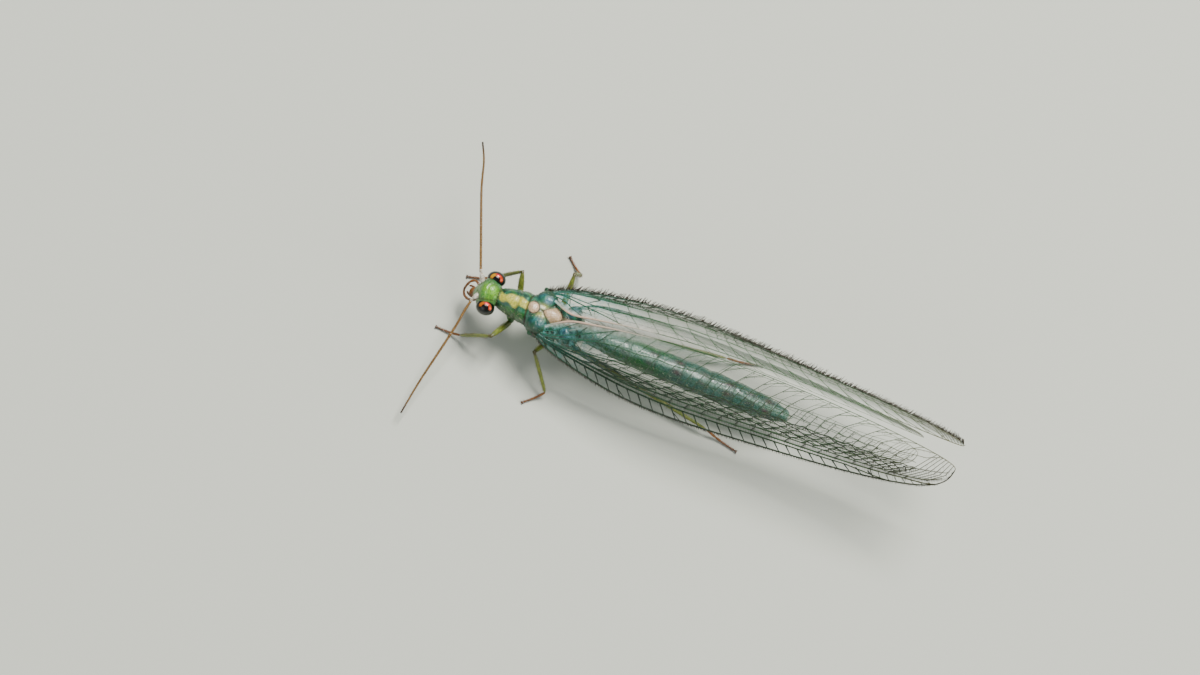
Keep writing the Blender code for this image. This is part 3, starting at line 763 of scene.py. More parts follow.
def skin_finish():
    """Waxy green insect skin with its painted zones."""
    skin = Finish("lacewing_skin")
    fine = skin.noise(26.0, 5.0)
    colour = skin.ramp(skin.noise(5.0), (0.32, 3, 46, 36), (0.5, 12, 80, 54), (0.68, 44, 118, 84))
    for name, light, dark in SKIN_ZONES:
        colour = skin.lay(name, colour, skin.ramp(fine, (0.36, *dark), (0.62, *light)))
    speckle = skin.stretch(skin.noise(70.0, 2.0), 0.32, 0.6, 0.72, 1.0)
    colour = skin.lay(0.8, colour, speckle, "MULTIPLY")
    colour = skin.lay("seam", colour, (48, 34, 14))
    colour = skin.lay("dot", colour, (20, 14, 10))
    gloss = skin.stretch(fine, 0.3, 0.7, 0.24, 0.46)
    pits = skin.maths("ADD", skin.cells(34.0), skin.noise(90.0, 2.0))
    sockets = {
        "Roughness": skin.maths("MULTIPLY_ADD", skin.mask("seam"), 0.5, gloss),
        "Coat Weight": skin.maths("MULTIPLY_ADD", skin.mask("seam"), -0.34, 0.34),
        "Coat Roughness": 0.12,
        "Subsurface Weight": 0.12,
        "Subsurface Radius": (0.6, 1.0, 0.4),
        "Subsurface Scale": 0.12 * MM,
    }
    return skin.finished(colour, (pits, 0.008, 0.55), sockets)


body_skin.materials.append(skin_finish())
BODY_PARTS = ("head", "prothorax", "mesothorax", "metathorax", "abdomen")
set_piece("body_skin", body_skin, BODY_PARTS)

# %% [markdown]
# ## Compound eyes
# Each eye is a bulging dome of many hundred lenses. A ball gets a small dome of real height over each
# of its evenly spread centres, laid out on a golden-angle spiral. The eye is a dark bottle green,
# nearly black. Its gold, rose and copper arc is an interference colour on the upper side, round a
# black middle, and it is painted by the direction from the eye's centre.

# %% Compound eyes
EYE_HALF_SIZE = Vector((0.24, 0.293, 0.29))
EYE_AXIS = np.array(Vector((0.26, 0.02, 1.0)).normalized())
LENSES = 1300
LENS_REACH = 1.9 / math.sqrt(LENSES)
LENS_HEIGHT = 0.006
ARC_ANGLE = 33.0
GOLD_SHARE = {1.0: 0.25, -1.0: 0.95}


def lens_centres():
    """Evenly spread directions on a ball, by the golden angle."""
    turn = math.pi * (3.0 - math.sqrt(5.0))
    for number in range(LENSES):
        height = 1.0 - 2.0 * (number + 0.5) / LENSES
        radius = math.sqrt(1.0 - height * height)
        yield Vector((radius * math.cos(turn * number), radius * math.sin(turn * number), height))


def compound_eye(side):
    """One eye's mesh with its domed lenses and colour masks."""
    tree = KDTree(LENSES)
    for number, centre in enumerate(lens_centres()):
        tree.insert(centre, number)
    tree.balance()
    bm = bmesh.new()
    bmesh.ops.create_icosphere(bm, subdivisions=7, radius=1.0)
    directions = []
    edges = []
    for vert in bm.verts:
        direction = vert.co.normalized()
        distance = tree.find(direction)[2] / LENS_REACH
        directions.append(direction)
        edges.append(min(1.0, distance))
        dome = 1.0 + LENS_HEIGHT * (1.0 - distance * distance)
        vert.co = Vector((a * b for a, b in zip(direction, EYE_HALF_SIZE))) * dome
    mesh = mesh_of(bm, "eye")
    directions = np.array(directions)
    rise = directions @ EYE_AXIS
    angle = np.degrees(np.arccos(np.clip(rise, -1.0, 1.0)))
    sideways = directions - rise[:, None] * EYE_AXIS
    sideways /= np.maximum(np.linalg.norm(sideways, axis=1), 1e-6)[:, None]
    inward = ease(-sideways[:, 0], -0.45, 0.25)
    forward = ease(-sideways[:, 1], 0.15, 0.75)
    backward = ease(sideways[:, 1], 0.15, 0.75)
    ring = ease(angle, ARC_ANGLE - 14.0, ARC_ANGLE - 6.0)
    ring = ring * (1.0 - ease(angle, ARC_ANGLE + 5.0, ARC_ANGLE + 13.0)) * inward
    paint(
        mesh,
        ring=ring,
        gold=ring * forward * GOLD_SHARE[side],
        rose=ring * (1.0 - forward) * (1.0 - 0.8 * backward),
        pupil=1.0 - ease(angle, ARC_ANGLE - 16.0, ARC_ANGLE - 8.0),
        rim=ease(angle, 58.0, 84.0),
        edge=np.array(edges) ** 6,
    )
    mesh.transform(Matrix.Translation((side * EYE_MIDDLE.x, EYE_MIDDLE.y, EYE_MIDDLE.z)))
    return mesh


def eye_finish():
    """Dark glossy lenses with a copper, rose and gold arc round a black middle."""
    eye = Finish("eye_lenses", 0.2, 0.35)
    clouds = eye.noise(18.0)
    colour = eye.ramp(clouds, (0.35, 2, 8, 5), (0.65, 6, 20, 8))
    colour = eye.lay("rim", colour, (10, 44, 14))
    copper = eye.ramp(clouds, (0.3, 222, 58, 12), (0.7, 246, 122, 28))
    colour = eye.lay("ring", colour, copper)
    for name, tint in (("rose", (238, 60, 76)), ("gold", (252, 196, 44)), ("pupil", (8, 3, 4))):
        colour = eye.lay(name, colour, tint)
    colour = eye.lay(eye.maths("MULTIPLY", eye.mask("edge"), 0.45), colour, (10, 8, 6))
    sockets = {
        "Metallic": eye.maths("MULTIPLY", eye.mask("ring"), 0.55),
        "Coat Roughness": 0.04,
        "Specular IOR Level": 0.25,
    }
    return eye.finished(colour, (eye.noise(60.0), 0.002, 0.3), sockets)


EYE = eye_finish()
for side_name, side in SIDES:
    eye_mesh = compound_eye(side)
    eye_mesh.materials.append(EYE)
    set_piece("eye_" + side_name + "_lenses", eye_mesh, ("eye_" + side_name,))

# %% [markdown]
# ## Trees for slender parts and bristles
# Veins, legs and feelers are all round parts along a path, and bristles stand in rows on them. One
# tree sweeps a ring along every path, as thick as the path's own points say. A second tree sets a
# bent three-sided spike on every point, turned to the direction kept there, so that thousands of
# bristles cost only a few faces each.

# %% Trees for slender parts and bristles
def sweep_tree():
    """Sweep a ring along loose edges, scaled by their points' thickness."""
    growth = Growth("sweep", ("Sides", "Int", 8))
    line = growth.add("GeometryNodeMeshToCurve", {"Mesh": growth.given["Geometry"]})
    links = {"Resolution": growth.given["Sides"], "Radius": 1.0}
    ring = growth.add("GeometryNodeCurvePrimitiveCircle", links)
    links = {"Curve": line, "Profile Curve": ring, "Scale": growth.field("thick"), "Fill Caps": True}
    return growth.finished(growth.add("GeometryNodeCurveToMesh", links))


def bristle_tree():
    """Set a bent spike on every point, along its direction and as long as it says."""
    inputs = (("Root Width", "Float", 0.006), ("Tip Width", "Float", 0.0), ("Bend", "Float", 0.2))
    growth = Growth("bristles", *inputs)
    height = growth.parts(growth.add("GeometryNodeInputPosition"))[2]
    sway = growth.maths("MULTIPLY", growth.maths("MULTIPLY", height, height), growth.given["Bend"])
    links = {"Geometry": growth.spike(growth.given["Tip Width"]), "Offset": growth.joined(sway)}
    bent = growth.add("GeometryNodeSetPosition", links)
    turn = growth.turned(growth.field("way", "FLOAT_VECTOR"))
    return growth.scattered(growth.given["Geometry"], bent, turn, 1.0, 1.0, growth.field("reach"))


def path_mesh(paths):
    """Loose edges along each path of (points, thicknesses, darkness)."""
    points, edges, thick, dark = [], [], [], []
    for path, sizes, tone in paths:
        first = len(points)
        points += [tuple(point) for point in path]
        edges += [(step, step + 1) for step in range(first, len(points) - 1)]
        thick += list(sizes)
        dark += list(np.broadcast_to(tone, len(path)))
    mesh = bpy.data.meshes.new("paths")
    mesh.from_pydata(points, edges, [])
    keep(mesh, "thick", thick)
    keep(mesh, "dark", dark)
    return mesh


def root_mesh(roots):
    """Points that bristles grow from, of (place, direction, length)."""
    places, ways, reaches = zip(*roots)
    mesh = bpy.data.meshes.new("roots")
    mesh.from_pydata([tuple(place) for place in places], [], [])
    keep(mesh, "way", [tuple(way) for way in ways], "FLOAT_VECTOR")
    keep(mesh, "reach", reaches)
    return mesh


def joined_mesh(name, *meshes):
    """Several meshes as one, their masks and finishes kept."""
    objects = [placed(name, mesh) for mesh in meshes]
    with bpy.context.temp_override(active_object=objects[0], selected_editable_objects=objects):
        bpy.ops.object.join()
    mesh = objects[0].data
    bpy.data.objects.remove(objects[0])
    mesh.name = name
    return mesh


def hair_finish(name, roughness, scale, *stops):
    """Hairs have two clouded tones and nothing more."""
    hair = Finish(name, roughness)
    return hair.finished(hair.ramp(hair.noise(scale), *stops))


SWEEP = sweep_tree()
BRISTLES = bristle_tree()


def swept(paths, sides, finish):
    """Round parts along paths."""
    return grow(path_mesh(paths), SWEEP, {"Sides": sides, "Finish": finish})


def hair_mesh(hairs, width, bend, finish, tone):
    """Fine hairs on their roots, all of one tone."""
    down = grow(root_mesh(hairs), BRISTLES, {"Root Width": width, "Bend": bend, "Finish": finish})
    paint(down, dark=tone)
    return down


print("trees", SWEEP.name, BRISTLES.name)

# %% [markdown]
# ## The wing's surface
# Folded wings stand like a roof over the abdomen. Across the blade, from the front edge below to the
# hind edge along the ridge, a narrow costal strip flares out like an eave, and the rest is one vault.
# Along the blade the edges follow measured stations and close to a rounded tip. One function gives
# the point at any reach, 0 at the root and 1 at the tip, and at any share across, 0 at the front edge.

# %% The wing's surface
EAVE_ACROSS = 0.12
EAVE_WAYS = {1.0: (0.38, 0.24), -1.0: (0.24, 0.3)}
LEAN_MIDDLE = 0.18
LEAN_TIP = 0.1
TIP_CROWDING = 2.2
TIP_ROUNDNESS = 3.0
VAULT_PACE = 1.3
VAULT_SHAPE = (1.8, 0.85)
FORE_ROOT, FORE_TIP = -0.15, 13.26
HIND_ROOT, HIND_TIP = 0.8, 12.1
FORE = {
    "root": FORE_ROOT,
    "tip": FORE_TIP,
    "apex": (0.42, 4.1),
    "front": (
        (FORE_ROOT, 0.66, 2.02),
        (0.45, 0.98, 1.9),
        (1.5, 1.26, 1.62),
        (3.0, 1.52, 1.32),
        (4.8, 1.62, 1.18),
        (7.8, 1.52, 1.16),
        (FORE_TIP, 1.34, 1.5),
    ),
    "hind": (
        (FORE_ROOT, 0.54, 2.12),
        (0.3, 0.34, 2.3),
        (0.8, 0.12, 2.56),
        (1.5, 0.09, 3.02),
        (3.0, 0.09, 3.78),
        (5.0, 0.09, 4.42),
        (8.0, 0.09, 4.68),
        (FORE_TIP, 0.12, 4.74),
    ),
    "eave": ((FORE_ROOT, 0.2), (1.5, 0.75), (3.5, 1.0), (8.0, 0.9), (FORE_TIP, 0.5)),
}
HIND = {
    "root": HIND_ROOT,
    "tip": HIND_TIP,
    "apex": (0.3, 3.5),
    "front": (
        (HIND_ROOT, 0.52, 1.92),
        (1.5, 0.84, 1.84),
        (3.0, 1.03, 1.64),
        (4.8, 1.1, 1.52),
        (7.8, 1.02, 1.52),
        (HIND_TIP, 0.86, 1.8),
    ),
    "hind": (
        (HIND_ROOT, 0.3, 2.06),
        (1.5, 0.06, 2.62),
        (3.0, 0.04, 3.34),
        (5.0, 0.04, 3.95),
        (8.0, 0.04, 4.25),
        (HIND_TIP, 0.05, 4.3),
    ),
    "eave": ((HIND_ROOT, 0.15), (3.5, 0.4), (HIND_TIP, 0.2)),
}


def wing_section(wing, side, reach):
    """The section's place along the body and its front edge, keel and hind edge as (x, z)."""
    y = wing["root"] + (wing["tip"] - wing["root"]) * reach
    closing = max(0.0, 1.0 - reach**TIP_ROUNDNESS) ** (1.0 / TIP_ROUNDNESS)
    ends = tuple(enumerate(wing["apex"], 1))
    front, hind = (
        [apex + (along(wing[edge], y, column) - apex) * closing for column, apex in ends]
        for edge in ("front", "hind")
    )
    eave = along(wing["eave"], y) * closing
    eave_in, eave_up = EAVE_WAYS[side]
    return y, front, (front[0] - eave_in * eave, front[1] + eave_up * eave), hind


def wing_point(wing, side, reach, across):
    """The blade's point at a reach from the root and a share across from the front edge."""
    y, front, keel, hind = wing_section(wing, side, reach)
    if across <= EAVE_ACROSS:
        share = across / EAVE_ACROSS
        x, z = (start + (end - start) * share for start, end in zip(front, keel))
    else:
        share = (across - EAVE_ACROSS) / (1.0 - EAVE_ACROSS)
        rise = 1.0 - (1.0 - share) ** VAULT_PACE
        x = hind[0] + (keel[0] - hind[0]) * (1.0 - rise ** VAULT_SHAPE[0]) ** VAULT_SHAPE[1]
        z = keel[1] + (hind[1] - keel[1]) * rise
    share = max(0.0, y) / FORE_TIP
    lean = LEAN_MIDDLE * math.sin(math.pi * share) + LEAN_TIP * share
    return Vector((side * x - lean, y, z))


def wing_frame(wing, side, reach, across):
    """Point, outward normal, way to the tip and way to the hind edge at one place of the blade."""
    step = 0.004
    near_reach = min(reach, 0.99)
    near_across = min(max(across, 0.0), 1.0 - step)
    base = wing_point(wing, side, near_reach, near_across)
    tipward = (wing_point(wing, side, near_reach + step, near_across) - base).normalized()
    hindward = (wing_point(wing, side, near_reach, near_across + step) - base).normalized()
    normal = tipward.cross(hindward).normalized()
    if normal.x * side < 0.0:
        normal = -normal
    return wing_point(wing, side, reach, across), normal, tipward, hindward


mid_wing = wing_section(FORE, 1.0, 0.4)
mid_edges = [tuple(round(value, 2) for value in edge) for edge in mid_wing[1:]]
print("forewing section at", round(mid_wing[0], 2), mid_edges)

# %% [markdown]
# ## The vein plan
# The veins are what name a lacewing. Behind the front edge run the subcosta and the radius, close
# together, with short cross-veins like ladder rungs in the costal strip. The radial sector sends a
# comb of slanting branches back to two zigzag veins that run the length of the blade, and stepped
# rows of cross-veins tie the comb together. Short forked veins reach the hind edge, and a few loops
# fill the base. The plan is drawn on the flat blade as reach and share across, and each
# vein has its thickness at both ends and its darkness.

# %% The vein plan
SUBCOSTA = 0.09
RADIUS_LINE = 0.135
MIDDLE_LINE = 0.5
INNER_LINE = 0.72
RUNG_SLANT = 0.02
COMB_CROWDING = 1.45
TINE_STEPS = 8
BASE_VEINS = (
    ([(0.0, 0.2), (0.05, 0.24), (0.11, 0.3), (0.18, 0.43)], 0.028, 0.018, 0.3),
    ([(0.0, 0.42), (0.06, 0.6), (0.12, 0.8), (0.19, 1.0)], 0.024, 0.012, 0.3),
    ([(0.0, 0.62), (0.05, 0.76), (0.1, 1.0)], 0.02, 0.012, 0.3),
    ([(0.1, 0.3), (0.12, 0.45), (0.1, 0.58)], 0.014, 0.014, 0.85),
    ([(0.055, 0.3), (0.055, 0.47)], 0.013, 0.013, 0.85),
    ([(0.055, 0.6), (0.06, 0.82)], 0.012, 0.012, 0.85),
    ([(0.1, 0.74), (0.115, 0.92)], 0.012, 0.012, 0.85),
    ([(0.06, RADIUS_LINE), (0.065, 0.25)], 0.014, 0.014, 0.85),
)
CORD = (
    (0.0, 0.02), (0.03, 0.02), (0.05, 0.028), (0.09, 0.034), (0.15, 0.028), (0.22, 0.016), (0.3, 0.01)
)


def sector(reach):
    """Share across of the radial sector."""
    rise = 0.105 * ease(reach, 0.1, 0.36)
    return float(RADIUS_LINE + rise - 0.02 * ease(reach, 0.75, 0.95))


def zigzag(line, number):
    """The two long hind veins step a little at every branch."""
    return line + (0.011 if number % 2 else -0.011)


def level(line, end, count):
    """Points of a vein that keeps its share across up to a reach."""
    return [(reach, line) for reach in np.linspace(0.0, end, count)]


def front_veins(rungs):
    """Front edge, hind edge, subcosta, radius and sector, and the rungs between them."""
    tips = [1.0 - (1.0 - share) ** TIP_CROWDING for share in np.linspace(0.0, 1.0, 110)]
    sector_line = [(reach, sector(reach)) for reach in np.linspace(0.1, 0.955, 44)]
    yield [(reach, 0.0) for reach in tips], 0.03, 0.018, 0.75
    yield [(reach, 1.0) for reach in reversed(tips)], 0.012, 0.012, 0.3
    yield level(SUBCOSTA, 0.78, 40) + [(0.82, 0.06), (0.86, 0.02), (0.88, 0.0)], 0.032, 0.017, 0.45
    yield level(RADIUS_LINE, 0.9, 46) + [(0.935, 0.1), (0.965, 0.04), (0.978, 0.0)], 0.036, 0.019, 0.4
    yield sector_line + [(0.985, 0.3)], 0.024, 0.015, 0.5
    for number in range(rungs):
        reach = 0.03 + 0.8 * number / (rungs - 1)
        yield [(reach + RUNG_SLANT, 0.0), (reach, SUBCOSTA)], 0.013, 0.024, 1.0
        if number % 5 == 2 and reach < 0.4:
            stub = [(reach + RUNG_SLANT + 0.012, 0.0), (reach + 0.011, 0.045)]
            yield stub, 0.011, 0.014, 1.0
    inner_rungs = rungs * 2 // 3
    for number in range(inner_rungs):
        reach = 0.15 + 0.76 * number / (inner_rungs - 1)
        yield [(reach, RADIUS_LINE), (reach + 0.006, sector(reach))], 0.019, 0.015, 1.0
    for number in range(8):
        reach = 0.835 + 0.018 * number
        yield [(reach + 0.012, 0.0), (reach, RADIUS_LINE - 0.02)], 0.012, 0.012, 0.8
    yield [(0.09, SUBCOSTA), (0.095, RADIUS_LINE)], 0.018, 0.018, 1.0


def comb_veins(branches, rows):
    """The comb of branches behind the sector, with its rows of cross-veins between neighbours."""
    tines = []
    for number in range(branches):
        crowd = 1.0 - (1.0 - number / (branches - 1)) ** COMB_CROWDING
        start = 0.13 + 0.75 * crowd
        spread = 0.07 - 0.03 * crowd
        top = sector(start)
        fall = zigzag(MIDDLE_LINE, number) - top
        tine = []
        for step in range(TINE_STEPS + 1):
            share = step / TINE_STEPS
            kink = 0.004 * (-1) ** (number + step) * (0 < step < TINE_STEPS)
            tine.append((start + spread * share + kink, top + fall * share))
        tines.append(tine)
        yield tine, 0.021, 0.014, 0.7
    for number, (first, second) in enumerate(zip(tines[:-1], tines[1:])):
        for row in range(rows):
            step = 2 + row * 2 - number % 2
            if (row < 2 or first[0][0] > 0.36) and (row < 3 or number < branches - 7):
                cross = [first[min(step + 1, TINE_STEPS)], second[min(step, TINE_STEPS)]]
                yield cross, 0.018, 0.015, 1.0
    line = [(0.03, 0.26), (0.09, 0.34), (0.15, 0.43), *(tine[-1] for tine in tines)]
    yield line + [(0.985, 0.58), (0.991, 0.66)], 0.019, 0.012, 0.5


def hind_veins(steps):
    """The inner zigzag vein, its ties to the middle one and the forked veins to the hind edge."""
    nodes = [(0.15 + 0.72 * number / (steps - 1), zigzag(INNER_LINE, number)) for number in range(steps)]
    line = [(0.02, 0.42), (0.07, 0.54), (0.11, 0.65)] + nodes + [(0.93, 0.8), (0.965, 1.0)]
    yield line, 0.015, 0.009, 0.2
    for number, (reach, across) in enumerate(nodes):
        yield [(reach, across), (reach - 0.012, MIDDLE_LINE - 0.004)], 0.011, 0.012, 0.35
        if reach > 0.36:
            between = [(reach + 0.025, across + 0.004), (reach + 0.012, MIDDLE_LINE)]
            yield between, 0.01, 0.012, 0.4
            yield [(reach - 0.006, 0.61), (reach + 0.018, 0.6)], 0.011, 0.011, 0.5
            yield [(reach + 0.018, 0.63), (reach + 0.044, 0.62)], 0.01, 0.01, 0.5
        slant = 0.03 + 0.016 * number / steps
        fork = (reach + 0.5 * slant, 0.86)
        yield [(reach, across), fork, (reach + slant, 1.0)], 0.011, 0.008, 0.2
        if number > 2:
            yield [fork, (reach + 1.7 * slant, 1.0)], 0.009, 0.008, 0.2


def tip_veins():
    """The fan of veins that fills the rounded tip."""
    for number in range(7):
        start = 0.885 + 0.012 * number
        end = min(0.949 + 0.0075 * number, 0.993)
        path = [(start, 0.23 - 0.008 * number), (start + 0.03, 0.47), (end, 1.0)]
        yield path, 0.013, 0.01, 0.6


FORE_PLAN = [*front_veins(30), *comb_veins(27, 4), *hind_veins(17), *BASE_VEINS, *tip_veins()]
HIND_PLAN = [*front_veins(24), *comb_veins(15, 2), *hind_veins(12), *BASE_VEINS, *tip_veins()]
print(len(FORE_PLAN), "veins in a forewing,", len(HIND_PLAN), "in a hindwing")

# %% [markdown]
# ## Laying the veins and their bristles on the wings
# Each vein's path is refined in small steps and lifted onto the blade, so it bends with the vault.
# Short black bristles stand along the veins, leaning towards the tip, and they are longest and
# closest along the front edge, where they make the fringe that the photo shows against the light.

# %% Laying the veins and their bristles on the wings
REACH_STEP = 0.012
ACROSS_STEP = 0.035
EDGE_SPACING = 0.052
VEIN_SPACING = 0.085
BARE_FROM = 0.56
BARE_CHANCE = 0.3
VEIN_JITTER = 0.16
EDGE_JITTER = 0.15
FAN = ((0.35, 0.9, 0.19, 0.26), (0.05, 1.0, 0.15, 0.22), (-0.3, 0.9, 0.1, 0.15))


def refined(path):
    """More points along a path of (reach, across)."""
    points = [path[0]]
    for start, end in zip(path[:-1], path[1:]):
        reach_way, across_way = (b - a for a, b in zip(start, end))
        steps = max(1, math.ceil(max(abs(reach_way) / REACH_STEP, abs(across_way) / ACROSS_STEP)))
        for step in range(1, steps + 1):
            points.append((start[0] + reach_way * step / steps, start[1] + across_way * step / steps))
    return points


def laid(wing, side, flat):
    """A flat path lifted onto the blade."""
    return [wing_point(wing, side, *place) for place in flat]


def lay_veins(wing, side, plan, strength):
    """Paths in space for every vein of the plan."""
    paths = []
    for path, start, end, dark in plan:
        points = laid(wing, side, refined(path))
        paths.append((points, np.linspace(start, end, len(points)) * strength, dark * strength**3))
    return paths


def cord_path(wing, side):
    """The thick cord that carries the hind edge away from the body, darkness -1 for its pale colour."""
    flat = refined([(reach, 1.0) for reach, size in CORD])
    return laid(wing, side, flat), [along(CORD, reach) for reach, across in flat], -1.0


def vein_bristle(wing, side, reach, across):
    """One bristle that stands on a vein and leans towards the tip."""
    point, normal, tipward, _ = wing_frame(wing, side, reach, across)
    jitter = Vector(RANDOM.normal(0.0, VEIN_JITTER, 3))
    length = RANDOM.uniform(0.09, 0.15) * (1.0 - 0.6 * max(0.0, across - 0.3))
    return point, (normal + tipward * 0.6 + jitter).normalized(), length


def edge_bristles(wing, side, reach):
    """The fringe at one place of the front edge: three bristles that fan out from it."""
    point, normal, tipward, hindward = wing_frame(wing, side, reach, 0.0)
    fade = (1.0 - 0.35 * reach) * 0.6 if side > 0.0 else 1.0 - 0.12 * reach
    fan = []
    for outward, upward, shortest, longest in FAN:
        jitter = Vector(RANDOM.normal(0.0, EDGE_JITTER, 3))
        way = -hindward * outward + normal * upward + tipward * 0.55 + jitter
        shift = tipward * RANDOM.uniform(-0.02, 0.02)
        fan.append((point + shift, way.normalized(), RANDOM.uniform(shortest, longest) * fade))
    return fan


def wing_bristles(wing, side, plan):
    """Roots of the bristles of the front edge, and of those along the other veins."""
    fringe = []
    roots = []
    for number, (path, *_) in enumerate(plan):
        edge = number == 0
        spacing = EDGE_SPACING if edge else VEIN_SPACING
        travelled = 0.0
        flat = refined(path)
        points = laid(wing, side, flat)
        for start, end, last, here in zip(flat, flat[1:], points, points[1:]):
            length = (here - last).length
            while travelled < length:
                share = travelled / max(length, 1e-6)
                reach, across = (a + (b - a) * share for a, b in zip(start, end))
                if edge:
                    fringe += edge_bristles(wing, side, reach)
                elif across < BARE_FROM or RANDOM.uniform() < BARE_CHANCE:
                    roots.append(vein_bristle(wing, side, reach, across))
                travelled += spacing * RANDOM.uniform(0.8, 1.2)
            travelled -= length
    return fringe, roots


def blade(wing, side, columns, rows):
    """The membrane as one thin sheet with its outer face outward and its own map."""
    bm = bmesh.new()
    grid = []
    for column in range(columns + 1):
        reach = 1.0 - (1.0 - column / columns) ** TIP_CROWDING
        flat = [(reach, row / rows) for row in range(rows + 1)]
        grid.append([bm.verts.new(point) for point in laid(wing, side, flat)])
    layer = bm.loops.layers.uv.new("wing_map")
    for column in range(columns):
        for row in range(rows):
            corners = [(column, row), (column + 1, row), (column + 1, row + 1), (column, row + 1)]
            if side < 0.0:
                corners.reverse()
            face = bm.faces.new([grid[a][b] for a, b in corners])
            for loop, (a, b) in zip(face.loops, corners):
                loop[layer].uv = (a / columns, b / rows)
    bmesh.ops.remove_doubles(bm, verts=bm.verts, dist=1e-5)
    mesh = mesh_of(bm, "blade")
    outward = sum(face.normal.x for face in mesh.polygons) * side
    print("blade normals outward", round(outward), "of", len(mesh.polygons))
    return mesh


print("bristles every", EDGE_SPACING, "mm on the edge and every", VEIN_SPACING, "mm on the veins")

# %% [markdown]
# ## Finishes of the wings
# The membrane is a film far thinner than a hair. It is clear, faintly green, and shows blue and pink
# interference colours where the light grazes it, so the shader is mostly see-through, with a thin
# film on its gloss, and gets denser where it is seen edge-on. A pale, denser strip along the ridge of
# the basal half is painted sheen, and the right wings are made hazier by painted haze. Veins are teal
# near the body, dark green over most of the blade and brownish at the tip, and cross-veins are darker
# than long ones.

# %% Finishes of the wings
def membrane_finish():
    """A clear, faintly green film with interference colours, denser where it is seen edge-on, with painted
    haze on the right wings and a painted sheen along the ridge.
    """
    film = Finish("wing_membrane", 0.3)
    x, y, _ = film.parts(film.place)
    base = film.stretch(y, 0.0, 3.2, 1.0, 0.0)
    clouds = film.noise(1.8)
    fine = film.noise(7.0)
    colour = film.ramp(clouds, (0.35, 84, 112, 84), (0.65, 122, 138, 122))
    colour = film.lay(base, colour, film.ramp(fine, (0.38, 14, 84, 72), (0.6, 88, 156, 156)))
    facing = film.add("ShaderNodeLayerWeight", {"Blend": 0.5}, "Facing")
    # Painted haze: the right wings, x below -0.3, count as more edge-on than they are, which makes their
    # film denser, as the light grazing them does.
    facing = film.maths("ADD", facing, film.stretch(x, -0.3, -0.8, 0.0, 0.12))
    edge_on = film.stretch(facing, 0.56, 0.88, 0.0, 0.8, interpolation_type="SMOOTHSTEP")
    haze = film.maths("MULTIPLY_ADD", clouds, 0.06, edge_on)
    streaks = film.maths("MULTIPLY", base, film.stretch(fine, 0.42, 0.66, 0.0, 0.6))
    across = film.parts(film.add("ShaderNodeUVMap", uv_map="wing_map"))[1]
    # Painted sheen: a pale, denser strip along the ridge, the hind edge, over the basal half of each blade.
    rear = film.stretch(across, 0.8, 0.98, 0.0, 1.0)
    ridge_sheen = film.maths("MULTIPLY", rear, film.stretch(y, 3.0, 6.5, 0.75, 0.0))
    sheen_colour = film.ramp(fine, (0.35, 176, 170, 156), (0.65, 214, 202, 190))
    sockets = {
        "Alpha": film.maths("ADD", haze, film.maths("ADD", streaks, ridge_sheen)),
        "Coat Weight": film.maths("MULTIPLY_ADD", base, 0.5, 0.06),
        "Coat Roughness": 0.1,
        "Specular IOR Level": 0.28,
        "Thin Film IOR": 1.56,
        "Thin Film Thickness": 420.0,
    }
    creases = film.maths("MULTIPLY_ADD", film.cells(6.0), 0.5, fine)
    return film.finished(film.lay(ridge_sheen, colour, sheen_colour), (creases, 0.035, 0.4), sockets)


def vein_finish():
    """Veins that turn from teal through dark green to brown, with a pale cord at the base."""
    vein = Finish("wing_veins", 0.38, 0.2)
    reach = vein.stretch(vein.parts(vein.place)[1], -0.5, 13.4, 0.0, 1.0)
    stops = ((0.03, 24, 106, 90), (0.2, 16, 78, 34), (0.75, 40, 88, 22), (1.0, 92, 78, 32))
    tone = vein.mask("dark")
    dark = vein.maths("MULTIPLY", tone, vein.maths("ADD", vein.noise(8.0), 0.42))
    colour = vein.lay(dark, vein.ramp(reach, *stops), (8, 40, 12))
    cord = vein.ramp(reach, (0.045, 70, 150, 140), (0.085, 206, 170, 148), (0.3, 166, 172, 158))
    pale = vein.maths("MAXIMUM", vein.maths("MULTIPLY", tone, -1.0), 0.0)
    return vein.finished(vein.lay(pale, colour, cord), (vein.noise(80.0), 0.004, 0.4))


MEMBRANE = membrane_finish()
VEIN = vein_finish()
BRISTLE = hair_finish("bristle_black", 0.42, 12.0, (0.35, 12, 14, 8), (0.7, 58, 44, 22))
STOUT_BRISTLES = {"Root Width": 0.014, "Tip Width": 0.005, "Bend": 0.02, "Finish": BRISTLE}
FINE_BRISTLES = {"Root Width": 0.008, "Tip Width": 0.002, "Bend": 0.02, "Finish": BRISTLE}
WINGS = (("forewing", FORE, FORE_PLAN, 150, 40, 1.0), ("hindwing", HIND, HIND_PLAN, 120, 32, 0.55))
for wing_name, wing, plan, columns, rows, strength in WINGS:
    for side_name, side in SIDES:
        node = wing_name + "_" + side_name
        sheet = blade(wing, side, columns, rows)
        sheet.materials.append(MEMBRANE)
        set_piece(node + "_membrane", sheet, (node,))
        paths = lay_veins(wing, side, plan, strength)
        if wing is FORE:
            paths.append(cord_path(wing, side))
        set_piece(node + "_veins", swept(paths, 6, VEIN))
        if wing is FORE:
            fringe, roots = wing_bristles(wing, side, plan)
            coarse = grow(root_mesh(fringe), BRISTLES, STOUT_BRISTLES)
            fine = grow(root_mesh(roots), BRISTLES, FINE_BRISTLES)
            set_piece(node + "_bristles", joined_mesh("bristles", coarse, fine))
            print(len(fringe), "bristles on the edge and", len(roots), "on the veins")

# %% [markdown]
# ## Feelers
# A feeler has a stout pale base joint, a small second joint, and then a long whip of some sixty
# barrel-shaped rings. A tree makes the whip: it walks along the path, sets one barrel for each ring
# with a narrow waist between neighbours, and scales it by the path's thickness. The left feeler
# hangs down beside the foreleg and the right one is held up, as in the photo.

